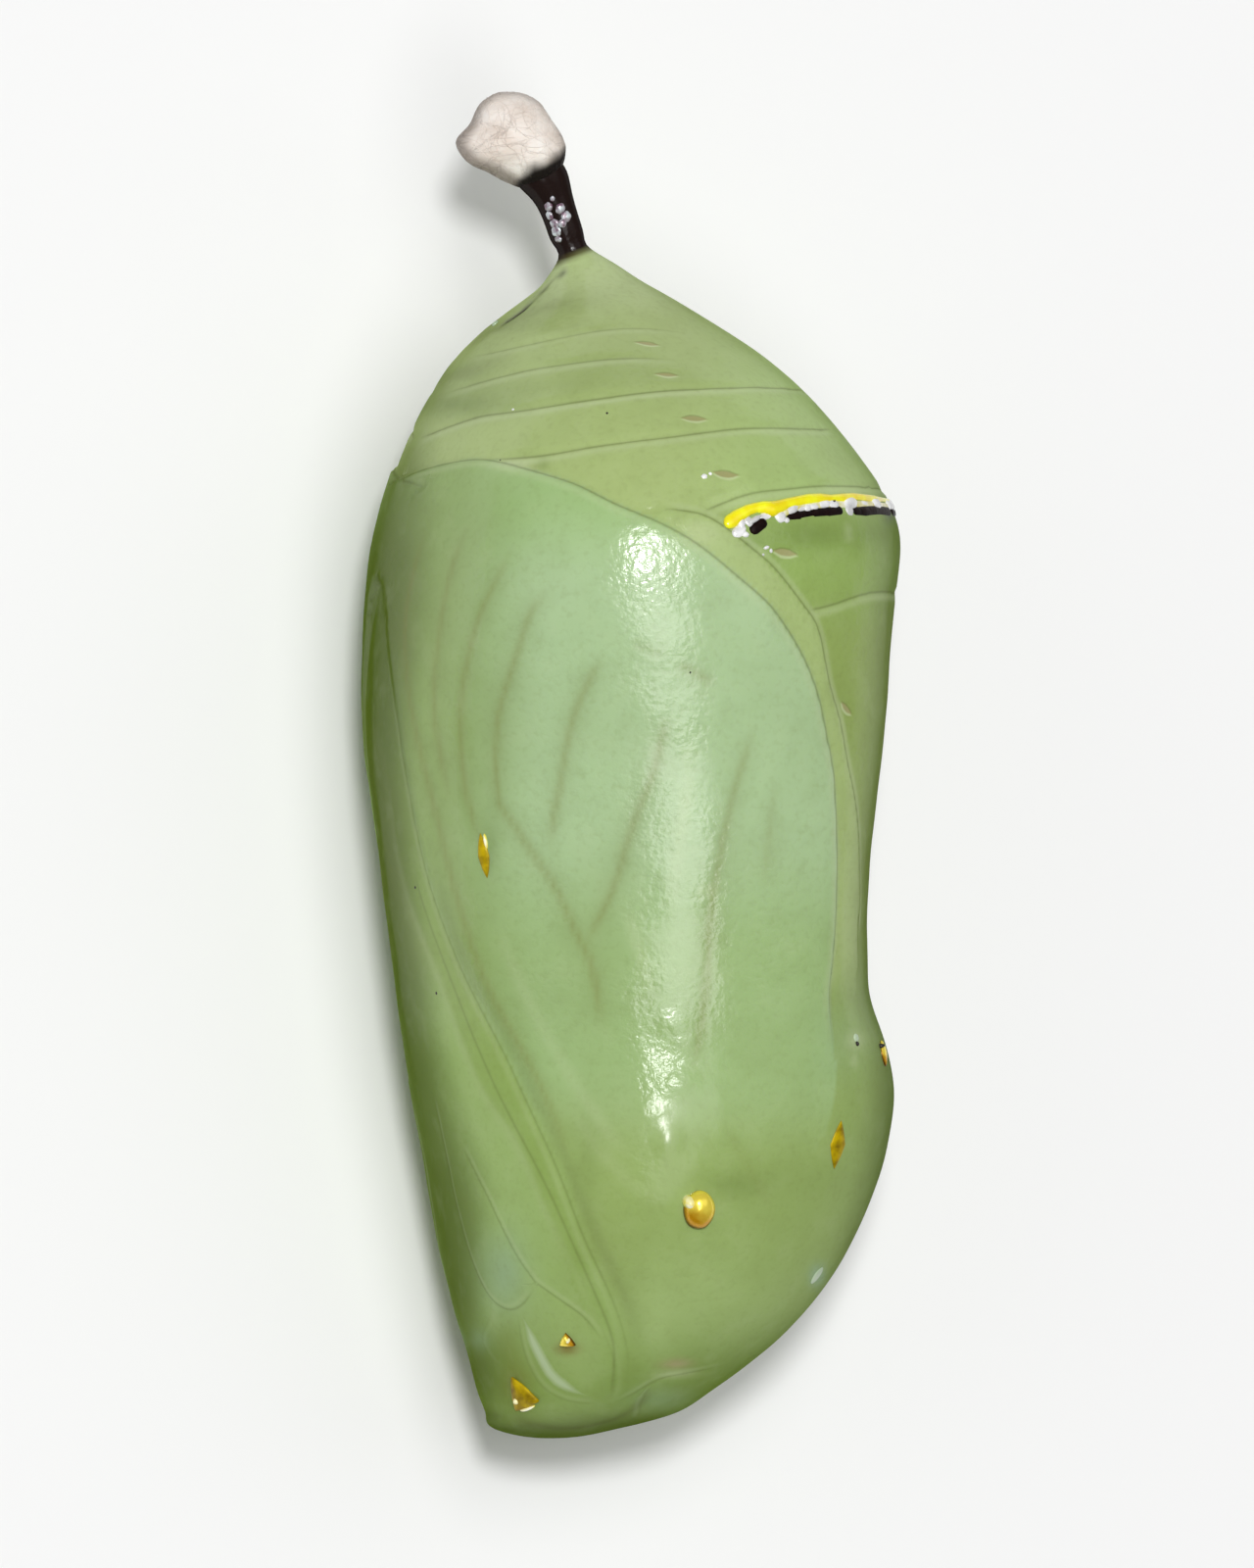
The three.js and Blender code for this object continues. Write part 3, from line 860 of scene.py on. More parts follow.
class Skin:
    """The green skin, from the black stalk to the head, with all that is drawn on it."""

    WING_RISE = 0.1
    HIND_RISE = 0.05
    ANTENNA_RISE = 0.012
    LEG_RISE = 0.016
    VEIN_DEPTH = 0.007
    NOTCH_DEPTH = 0.04
    # Half the widths of soft strokes.
    VEIN_WIDTH = 0.08
    VEIN_SHADE_WIDTH = 0.3
    STREAK_WIDTH = 0.14
    CREASE_WIDTH = 0.3
    HEAD_SHADE_WIDTH = 0.14
    ANTENNA_SHADE_WIDTH = 0.16
    NOTCH_WIDTH = 0.11
    # The black of the stalk ends at this height where the long axis is, and slopes up with X.
    STALK_START = 25.54
    STALK_SLOPE = 0.44
    # The skin is duller below this height, and fully so from the next one down.
    DULL_FROM = 9.6
    DULL_AT = 7.8
    # Distances from a soft edge count as this share of what they are.
    SOFT_EDGE = 0.3

    SUTURES = (
        SkinLine([(476, 368), (550, 352), (638, 338), (707, 344)], 0.6, 1.4),
        SkinLine([(452, 404), (522, 384), (580, 375), (645, 369), (700, 371)], 0.8, 1.4),
        SkinLine(
            [
                (424, 450), (476, 431), (507, 425), (572, 417), (657, 405), (711, 400), (795, 398),
                (832, 402),
            ],
            0.95, 0.8,
        ),
        SkinLine([(495, 472), (549, 470), (611, 461), (703, 448), (765, 441), (850, 440)], 0.95, 0.8),
        SkinLine(
            [(715, 527), (738, 517), (768, 507), (803, 502), (842, 498), (900, 500)], 0.9, 0.3, True
        ),
        SkinLine([(822, 625), (849, 619), (876, 609), (899, 605), (914, 606)], 0.9, 0.3, True),
    )
    NECK_EDGE = SkinLine(
        [(580, 272), (569, 284), (557, 295), (544, 307), (528, 322), (509, 334)], 1.0, 0.2
    )
    SOFT_SHADES = (
        SkinLine([(470, 352), (518, 332), (560, 316), (615, 309)], 0.6, 1.2),
        SkinLine([(440, 398), (480, 380), (540, 366)], 0.5, 1.0),
        SkinLine([(500, 343), (560, 322), (640, 300)], 0.3, 1.0),
    )
    FOREWING_EDGE = SkinLine(
        [
            (388, 512), (400, 497), (430, 484), (457, 477), (495, 473), (534, 482), (572, 494),
            (599, 505), (626, 519), (657, 532), (695, 550), (726, 571), (749, 590), (776, 613),
            (795, 636), (818, 675), (833, 717), (841, 755), (847, 794), (850, 860), (850, 909),
            (847, 971), (843, 1009), (846, 1048), (852, 1090),
        ],
        1.0, 2.2,
    )
    HINDWING_EDGE = SkinLine(
        [
            (672, 529), (680, 525), (692, 526), (712, 529), (730, 537), (749, 550), (772, 568),
            (788, 582), (807, 605), (822, 625), (834, 648), (845, 700), (856, 740), (864, 786),
            (872, 832), (875, 909), (873, 960),
        ],
        1.0, 0.5,
    )
    VEINS = (
        SkinLine(
            [
                (445, 525), (430, 578), (420, 625), (422, 700), (437, 778), (452, 840), (472, 917),
                (500, 1000), (527, 1055), (562, 1125), (585, 1190),
            ],
            0.9, 1.6,
        ),
        SkinLine([(490, 530), (468, 578), (455, 640), (449, 700), (452, 755), (466, 830)], 0.8, 1.2),
        SkinLine(
            [
                (530, 555), (511, 594), (492, 636), (479, 690), (475, 736), (477, 786), (483, 821),
                (500, 880),
            ],
            0.9, 1.2,
        ),
        SkinLine(
            [
                (565, 598), (545, 628), (530, 671), (514, 725), (510, 767), (512, 813), (525, 836),
                (545, 867), (568, 902), (591, 952), (606, 986), (614, 1032), (622, 1055),
            ],
            1.0, 1.0,
        ),
        SkinLine([(618, 665), (598, 705), (583, 748), (575, 794), (568, 832), (564, 871)], 1.0, 0.8),
        SkinLine(
            [(680, 722), (668, 782), (652, 825), (637, 871), (625, 909), (606, 948), (595, 967)],
            1.0, 0.8,
        ),
        SkinLine(
            [
                (768, 728), (760, 763), (745, 813), (733, 871), (725, 917), (721, 967), (718, 1017),
                (706, 1102),
            ],
            0.9, 1.2,
        ),
        SkinLine([(789, 786), (783, 832), (779, 878), (773, 917)], 0.5, 1.0),
        SkinLine([(688, 675), (708, 688), (730, 700)], 0.8, 0.3),
        SkinLine([(640, 655), (662, 663), (684, 673)], 0.4, 0.3),
        SkinLine([(730, 1130), (750, 1165), (770, 1200), (790, 1240)], 0.3, 0.8),
    )
    PALE_STREAKS_AND_SHEEN = (
        SkinLine([(637, 917), (656, 975), (664, 1025)], 0.6, 0.8),
        SkinLine([(706, 907), (735, 908)], 0.9, 0.2),
        SkinLine([(505, 925), (520, 965), (545, 1025), (580, 1090), (620, 1150), (660, 1195)], 0.5, 1.5),
        # Partly the wing case's pale ridge, partly painted sheen where the light runs down it.
        SkinLine([(700, 720), (700, 800), (690, 880), (680, 960)], 0.6, 2.0),
        SkinLine([(578, 1110), (620, 1180), (690, 1230)], 0.3, 1.0),
        SkinLine([(868, 1088), (873, 1074)], 0.8, 0.1),
        SkinLine([(863, 532), (864, 548), (864, 560)], 0.8, 0.2),
    )
    ANTENNA_EDGE = SkinLine(
        [
            (394, 600), (399, 663), (410, 736), (418, 794), (433, 871), (452, 932), (479, 998),
            (511, 1062), (543, 1131), (571, 1192), (596, 1256), (621, 1310), (637, 1356),
            (641, 1390), (637, 1426),
        ],
        1.0, 4.0,
    )
    ANTENNA_INNER = SkinLine(
        [
            (392, 760), (406, 871), (429, 948), (452, 1005), (486, 1096), (518, 1149),
            (543, 1196), (557, 1231), (590, 1300), (612, 1355), (617, 1390),
        ],
        0.8, 5.0,
    )
    ANTENNA_BEADS = SkinLine(
        [
            (423, 886), (437, 932), (464, 1002), (496, 1081), (525, 1142), (554, 1196),
            (579, 1249), (600, 1296), (621, 1346), (627, 1381), (623, 1424),
        ],
        0.9, 0.6,
    )
    ANTENNA_SHADE = SkinLine(
        [
            (440, 850), (462, 930), (489, 998), (520, 1058), (553, 1127), (581, 1188), (607, 1252),
            (633, 1306), (650, 1350), (662, 1378),
        ],
        0.5, 1.6,
    )
    COVER_LINES = (
        SkinLine(
            [
                (470, 1160), (480, 1181), (504, 1228), (525, 1271), (543, 1299), (552, 1308),
                (579, 1326), (600, 1342), (618, 1366),
            ],
            0.9, 0.7,
        ),
        SkinLine(
            [
                (443, 1114), (454, 1167), (468, 1231), (482, 1280), (492, 1306), (502, 1322),
                (516, 1332), (530, 1330), (541, 1318), (547, 1308),
            ],
            0.9, 0.6,
        ),
        SkinLine([(621, 1430), (648, 1418), (672, 1404), (703, 1398), (740, 1390)], 0.8, 0.8),
        SkinLine([(651, 1444), (656, 1424), (666, 1410)], 0.6, 0.2),
    )
    EYE_LINES = (
        SkinLine(
            [(529, 1336), (534, 1371), (545, 1398), (561, 1416), (585, 1426), (612, 1428)], 0.7, 0.4
        ),
        SkinLine([(502, 1328), (499, 1345), (492, 1362), (500, 1382), (514, 1396)], 0.3, 0.4),
        SkinLine([(612, 1345), (624, 1372), (628, 1400), (624, 1424)], 0.4, 0.4),
    )
    HEAD_SHADE = SkinLine(
        [(520, 1443), (545, 1450), (579, 1455), (621, 1448), (650, 1432), (668, 1410)], 0.9, 0.5
    )
    EYE_CRESCENT = SkinLine(
        [
            (530, 1335), (537, 1347), (543, 1362), (550, 1376), (559, 1392), (568, 1403), (580, 1411),
            (592, 1417), (605, 1421),
        ],
        1.0, 0.8,
    )
    SPIRACLES = (
        SkinLine([(643, 352), (660, 353), (678, 356)], 0.8, 0.34),
        SkinLine([(663, 385), (680, 385), (697, 387)], 0.8, 0.34),
        SkinLine([(690, 431), (707, 431), (725, 433)], 1.0, 0.34),
        SkinLine([(721, 486), (738, 489), (756, 490)], 1.0, 0.34),
        SkinLine([(783, 564), (799, 566), (816, 569)], 1.0, 0.34),
        SkinLine([(856, 714), (862, 723), (870, 731)], 0.8, 0.26),
    )
    # Soft patches of the skin's own tones, with some painted shade and one painted highlight; the darker
    # greens are partly painted shade.
    BLOTS = (
        Blot((590, 1380), (50, 50), Tone.EYE, 0.65),
        Blot((672, 1345), (30, 60), Tone.CHEEK, 0.6),
        Blot((730, 1325), (60, 60), Tone.CHEEK, 0.5),
        # Painted shade along the back's edge.
        Blot((908, 1150), (30, 90), Tone.DARK_GREEN_AND_SHADE, 0.4),
        Blot((470, 415), (64, 15), Tone.DARK_GREEN_AND_SHADE, 0.5),
        # Painted highlight: a pale spill of light just below the wing case's edge.
        Blot((712, 549), (22, 14), Tone.PALE, 0.4),
        Blot((520, 398), (60, 9), Tone.DARK_GREEN_AND_SHADE, 0.16),
        Blot((470, 383), (30, 9), Tone.DARK_GREEN_AND_SHADE, 0.25),
        Blot((560, 335), (50, 9), Tone.DARK_GREEN_AND_SHADE, 0.14),
        Blot((690, 1388), (15, 5), Tone.PINK, 0.9),
        Blot((690, 1399), (22, 4), Tone.PALE, 0.4),
        # Brown under the eye's knob: partly its brown base, partly painted shadow beneath it.
        Blot((580, 1371), (12, 6), Tone.BROWN, 0.8),
        Blot((610, 385), (100, 26), Tone.DARK_GREEN_AND_SHADE, 0.2),
        Blot((455, 530), (70, 40), Tone.DARK_GREEN_AND_SHADE, 0.12),
        Blot((570, 1440), (60, 20), Tone.CHEEK, 0.3),
        Blot((527, 1408), (16, 20), Tone.OLIVE_GOLD, 0.6),
        Blot((502, 1395), (20, 40), Tone.DARK_GREEN_AND_SHADE, 0.45),
        Blot((505, 1340), (5, 18), Tone.PALE, 0.12),
        Blot((490, 1364), (10, 12), Tone.BLUISH, 0.3),
        Blot((516, 1296), (22, 40), Tone.BLUISH, 0.65),
        Blot((520, 1368), (12, 30), Tone.OLIVE_GOLD, 0.25),
        Blot((675, 1425), (32, 12), Tone.BLUISH, 0.3),
        Blot((833, 1299), (8, 11), Tone.BLUISH, 1.0),
        Blot((871, 1060), (9, 9), Tone.PALE, 0.6),
        Blot((528, 480), (18, 6), Tone.PALE, 0.35),
        Blot((556, 478), (7, 8), Tone.DARK_GREEN_AND_SHADE, 0.35),
        # Painted shade: grey where the band turns away at the back's edge.
        Blot((906, 523), (7, 12), Tone.GREY_EDGE_SHADE, 0.7),
        # Painted shade below the raised band, in the next three patches.
        Blot((828, 548), (42, 16), Tone.DARK_GREEN_AND_SHADE, 0.45),
        Blot((890, 545), (26, 16), Tone.DARK_GREEN_AND_SHADE, 0.35),
        Blot((768, 556), (14, 9), Tone.DARK_GREEN_AND_SHADE, 0.3),
        Blot((745, 1205), (32, 14), Tone.DARK_GREEN_AND_SHADE, 0.3),
        Blot((790, 1200), (60, 22), Tone.DARK_GREEN_AND_SHADE, 0.12),
        Blot((858, 1062), (26, 40), Tone.BLUISH, 0.25),
        Blot((600, 1180), (14, 50), Tone.DARK_GREEN_AND_SHADE, 0.2),
        Blot((505, 860), (10, 34), Tone.DARK_GREEN_AND_SHADE, 0.3),
    )
    # Where the skin has a finer and stronger grain.
    NETTED = (
        Blot((692, 572), (30, 44), Tone.WING, 1.0),
        Blot((650, 606), (34, 30), Tone.WING, 0.8),
        Blot((640, 640), (26, 24), Tone.WING, 0.5),
        Blot((692, 1045), (34, 44), Tone.WING, 0.5),
    )
    HUMPS = (
        Hump((688, 1042), (16, 10), 0.022),
        Hump((700, 1062), (11, 9), 0.02),
        Hump((694, 1100), (16, 10), 0.026),
        Hump((655, 495), (110, 62), 0.11),
        Hump((662, 1131), (16, 12), 0.03),
        Hump((682, 1160), (14, 18), 0.045),
        Hump((737, 1120), (22, 18), 0.034),
        Hump((742, 1145), (14, 10), 0.02),
        Hump((660, 1090), (18, 22), 0.014),
        Hump((716, 1230), (62, 56), 0.055),
        Hump((683, 520), (14, 6), 0.012),
        Hump((655, 519), (16, 5), 0.012),
        Hump((717, 496), (9, 7), 0.02),
        Hump((780, 562), (8, 7), 0.02),
        Hump((580, 1364), (20, 22), 0.03),
        Hump((533, 1424), (26, 26), 0.05),
        Hump((853, 1166), (22, 34), 0.03),
    )
    WING_REGION = SeenRegion(
        [
            *FOREWING_EDGE.pixels, (845, 1140), (820, 1190), (780, 1218), (712, 1236), (640, 1225),
            (585, 1200), *ANTENNA_EDGE.pixels[8::-1], (370, 560), (370, 520),
        ]
    )
    HIND_REGION = SeenRegion(
        [*HINDWING_EDGE.pixels, (860, 1040), (800, 960), (780, 780), (700, 600), (640, 540)]
    )
    ANTENNA_REGION = SeenRegion(
        [
            *ANTENNA_EDGE.pixels, (620, 1424), (615, 1388), (600, 1342),
            *ANTENNA_INNER.pixels[7::-1], (366, 700), (362, 590),
        ]
    )
    LEG_REGION = SeenRegion(
        [*COVER_LINES[1].pixels, (525, 1271), (504, 1228), (480, 1181), (455, 1110)]
    )

    def __init__(self, canvas: Canvas) -> None:
        """Measure everything that is drawn on the skin.

        Args:
            canvas: The bare skin to draw on.
        """
        self.canvas = canvas
        self.across = canvas.flat_places @ SEEN_ACROSS
        self.lengthwise = canvas.flat_places[:, 1]
        self.layers = {
            name: LineLayer(lines).measure(canvas)
            for name, lines in (
                ("sutures", self.SUTURES),
                ("wing_edge", (self.FOREWING_EDGE,)),
                ("hind_edge", (self.HINDWING_EDGE,)),
                ("antenna_edge", (self.ANTENNA_EDGE,)),
                ("antenna_inner", (self.ANTENNA_INNER,)),
                ("antenna_beads", (self.ANTENNA_BEADS,)),
                ("covers", self.COVER_LINES),
                ("eye", self.EYE_LINES),
                ("spiracles", self.SPIRACLES),
                ("crescent", (self.EYE_CRESCENT,)),
            )
        }
        self.veins = self._soft(self.VEINS, self.VEIN_WIDTH)
        self.vein_shades = self._soft(self.VEINS, self.VEIN_SHADE_WIDTH)
        self.streaks = self._soft(self.PALE_STREAKS_AND_SHEEN, self.STREAK_WIDTH)
        self.shades = np.maximum.reduce(
            [
                self._soft(self.SOFT_SHADES, self.CREASE_WIDTH),
                self._soft((self.HEAD_SHADE,), self.HEAD_SHADE_WIDTH),
                self._soft((self.ANTENNA_SHADE,), self.ANTENNA_SHADE_WIDTH),
            ]
        )
        broken = 0.6 + 0.4 * ripples(canvas.flat_places, 0.5, 2)
        self.notch = self._soft((self.NECK_EDGE,), self.NOTCH_WIDTH) * broken
        self.wing = self._inside(self.WING_REGION, self.FOREWING_EDGE, self.ANTENNA_EDGE)
        self.hind = self._inside(self.HIND_REGION, self.HINDWING_EDGE)
        self.antenna = self._inside(self.ANTENNA_REGION, self.ANTENNA_EDGE, self.ANTENNA_INNER)
        self.legs = self._inside(self.LEG_REGION, self.COVER_LINES[1])
        self.heights = self._heights()
        self.raised = canvas.flat_places + canvas.flat_normals * self.heights[:, None]

    def _inside(
        self, region: SeenRegion, edge: SkinLine, soft_edge: SkinLine | None = None
    ) -> np.ndarray:
        """Measure how far inside a region each grid point is.

        Args:
            region: The region.
            edge: The line along its edge.
            soft_edge: A line along another part of its edge, where it ends more softly.

        Returns:
            The distance from the edge in millimetres, up to 0.6, and below 0 outside.
        """
        normals = self.canvas.flat_normals
        distance = np.abs(edge.measure(self.canvas.flat_places, normals)[0])
        if soft_edge:
            other = np.abs(soft_edge.measure(self.canvas.flat_places, normals)[0])
            distance = np.minimum(distance, self.SOFT_EDGE * other)
        hidden = (normals @ SEEN_AXIS < 0.0) & (normals[:, 0] > 0.0)
        return np.where(region.holds(self.across, self.lengthwise) & ~hidden, distance, -distance)

    def _soft(self, lines: Sequence[SkinLine], width: float) -> np.ndarray:
        """Draw lines as soft strokes.

        Args:
            lines: The lines.
            width: Half of a stroke's width.

        Returns:
            The strokes' strength at each grid point.
        """
        result = np.zeros(len(self.canvas.flat_places))
        for line in lines:
            line.lay(self.canvas)
            signed, _, strength = line.measure(
                self.canvas.flat_places, self.canvas.flat_normals
            )
            result = np.maximum(result, strength * bump(signed, width))
        return result

    def _heights(self) -> np.ndarray:
        """Work out how far the skin stands off its bare form.

        Returns:
            A height in millimetres for each grid point.
        """
        y = self.lengthwise
        height = self.WING_RISE * smoothstep(self.wing, -0.06, 0.08) * smoothstep(y, 7.6, 10.0)
        hind = smoothstep(self.hind, -0.06, 0.08) * smoothstep(y, 9.0, 12.0)
        height = np.maximum(height, self.HIND_RISE * hind)
        height += self.ANTENNA_RISE * smoothstep(self.antenna, -0.06, 0.1) * smoothstep(y, 14.0, 10.0)
        height += self.LEG_RISE * smoothstep(self.legs, -0.05, 0.1)
        for name, depth, width in (
            ("sutures", 0.04, 0.09), ("covers", 0.012, 0.09), ("spiracles", 0.03, 0.08),
        ):
            distance, strength, _ = self.layers[name].T
            height -= depth * strength * bump(distance, width)
        height -= self.VEIN_DEPTH * self.veins + self.NOTCH_DEPTH * self.notch
        for hump in self.HUMPS:
            height += hump.height(self.across, y)
        body = smoothstep(y, 24.6, 23.0)
        height += body * 0.012 * ripples(self.canvas.flat_places, 3.2, 4)
        height += body * 0.004 * ripples(self.canvas.flat_places, 1.1, 8)
        return height

    def lift(self, place: np.ndarray) -> float:
        """Give how far the skin stands off its bare form at a place of the right side."""
        nearest = ((self.canvas.flat_places - place) ** 2).sum(axis=1).argmin()
        return float(self.heights[nearest])

    def _above_green(self) -> np.ndarray:
        """Give how far past the green each grid point is, towards the tip of the stalk."""
        return self.lengthwise - self.STALK_SLOPE * self.across - self.STALK_START

    def tones(self) -> np.ndarray:
        """Paint the skin's soft colours, some of them painted shade and painted highlight.

        Returns:
            A linear colour for each grid point.
        """
        y, x = self.lengthwise, self.across
        backward = self.canvas.flat_normals[:, 0]
        wing = smoothstep(self.wing, -0.04, 0.04) * smoothstep(y, 5.4, 8.0)
        hind = smoothstep(self.hind, -0.04, 0.04)
        colour = np.tile(Tone.ABDOMEN.linear, (len(y), 1))

        def lay(tone: Tone, share: np.ndarray) -> None:
            """Lay one colour over the rest, as strongly as share says."""
            colour[:] += (tone.linear - colour) * np.clip(share, 0.0, 1.0)[:, None]

        lay(Tone.ABDOMEN_BACK, smoothstep(x, 0.5, 4.0))
        lay(Tone.NECK, smoothstep(y, 23.5, 24.4))
        lay(Tone.BACK, smoothstep(y, 19.7, 19.3) * smoothstep(x, 0.0, 1.0))
        below = smoothstep(y, 19.7, 19.3) * smoothstep(y, 16.6, 18.6) * smoothstep(x, 2.0, 2.6)
        lay(Tone.BELOW_BAND, 0.8 * below)
        lay(Tone.HIND_STRIP, hind * (1 - wing))
        lay(Tone.THORAX, smoothstep(y, 10.5, 9.0) * (1 - wing))
        lay(Tone.WING, wing)
        lay(Tone.WING_TOP, wing * smoothstep(y, 17.8, 19.8))
        lay(Tone.WING_LOW, wing * smoothstep(y, 13.0, 10.0))
        lay(Tone.WING_LEFT, wing * smoothstep(x, -1.6, -4.4))
        lay(Tone.THORAX, smoothstep(y, 8.2, 5.0) * smoothstep(x, -3.0, -1.0))
        lay(Tone.LEGS, smoothstep(y, 12.0, 9.0) * (1 - wing) * smoothstep(x, -0.5, -2.0))
        lay(Tone.ANTENNA, smoothstep(self.antenna, -0.05, 0.05))
        lay(Tone.HEAD, smoothstep(y, 3.1, 1.2))
        # Painted shade: dark olive where the skin turns away towards the belly and at the head's tip,
        # partly the belly's own darker green.
        lay(Tone.BELLY_AND_EDGE_SHADE, 0.92 * smoothstep(-backward, 0.89, 1.0))
        lay(Tone.BELLY_AND_EDGE_SHADE, smoothstep(y, 0.75, 0.25))
        # Painted shade: the skin is darkened where it turns away towards the back.
        colour *= (1.0 - 0.4 * smoothstep(backward, 0.6, 1.0))[:, None]
        for blot in self.BLOTS:
            lay(blot.tone, blot.cover(x, y))
        above = self._above_green()
        lay(Tone.STALK_EDGE, smoothstep(above, -0.2, 0.0))
        lay(Tone.STALK, smoothstep(above, -0.06, 0.06))
        return colour

    def mesh(self) -> bpy.types.Mesh:
        """Build the skin's mesh with its colours and lines as attributes.

        Returns:
            The mesh, in millimetres in the animal's own axes.
        """
        canvas = self.canvas
        bm = bmesh.new()
        bmesh.ops.create_uvsphere(
            bm, u_segments=canvas.AROUND, v_segments=canvas.LENGTHWISE, radius=1.0
        )
        bmesh.ops.reverse_faces(bm, faces=bm.faces)
        mesh = finished_mesh(bm, "skin")
        unit = read_places(mesh)
        ring = np.arccos(np.clip(unit[:, 2], -1, 1)) * canvas.LENGTHWISE / math.pi
        ring = np.rint(ring).astype(int)
        turn = np.arctan2(unit[:, 1], unit[:, 0]) * canvas.AROUND / (2 * math.pi)
        column = np.rint(turn).astype(int) % canvas.AROUND
        pole = (ring == 0) | (ring == canvas.LENGTHWISE)
        column[pole] = 0
        left = column > canvas.AROUND // 2
        column = np.where(left, canvas.AROUND - column, column)
        spot = ring * (canvas.AROUND // 2 + 1) + column
        places = self.raised[spot]
        places[left, 2] *= -1
        write_places(mesh, places)
        tones = np.ones((len(spot), 4), np.float32)
        tones[:, :3] = self.tones()[spot]
        paint = mesh.attributes.new("tone", "FLOAT_COLOR", "POINT")
        paint.data.foreach_set("color", tones.ravel())
        soft = np.stack([self.streaks, self.shades, self.notch], axis=1)
        stalk = smoothstep(self._above_green(), -0.15, 0.0)
        extra = np.stack([stalk, self.veins, self.vein_shades], axis=1)
        dull = smoothstep(self.lengthwise, self.DULL_FROM, self.DULL_AT)
        net = sum(patch.cover(self.across, self.lengthwise) for patch in self.NETTED)
        wax = np.stack([dull, net, np.zeros(len(dull))], axis=1)
        for name, values in {**self.layers, "soft": soft, "extra": extra, "wax": wax}.items():
            laid = values[spot]
            if name == "soft":
                # Only the right side of the neck is torn.
                laid[left, 2] = 0.0
            write_vectors(mesh, name, laid)
        return mesh


@dataclass(frozen=True)
class LinePaint:
    """How a layer of lines is painted.

    Attributes:
        layer: The layer's attribute.
        core: How strong the dark core is.
        width: Half of the core's width in millimetres.
        rim: How strong the pale rim beside it is.
        rim_at: How far from the core the rim lies, below 0 towards the head or the wing.
        rim_width: Half of the rim's width.
    """

    layer: str
    core: float
    width: float
    rim: float
    rim_at: float
    rim_width: float = 0.09


@dataclass(frozen=True)
class Lens:
    """A patch along a line, widest at the line's middle and pointed at its ends.

    Attributes:
        layer: The line's layer.
        width: Half of its width at the middle, in millimetres.
        shift: How far beside the line it lies.
        share: How strong it is.
        tone: Its colour.
        softness: How soft its edge is, in millimetres.
    """

    layer: str
    width: float
    shift: float
    share: float
    tone: Colour
    softness: float = 0.03

    def paint(self, build: ShaderBuilder, colour: bpy.types.NodeSocket) -> bpy.types.NodeSocket:
        """Paint the patch over the skin's colour so far.

        Args:
            build: The material's writer.
            colour: The colour so far.

        Returns:
            The colour with the patch.
        """
        distance, strength, _ = build.split(build.attribute(self.layer).outputs["Vector"])
        off = build.math("ABSOLUTE", build.math("SUBTRACT", distance, self.shift))
        inside = build.math("SUBTRACT", build.math("MULTIPLY", strength, self.width), off)
        cover = build.math("MULTIPLY", inside, 1.0 / self.softness, clamp=True)
        return build.mix(build.math("MULTIPLY", cover, self.share), colour, self.tone)


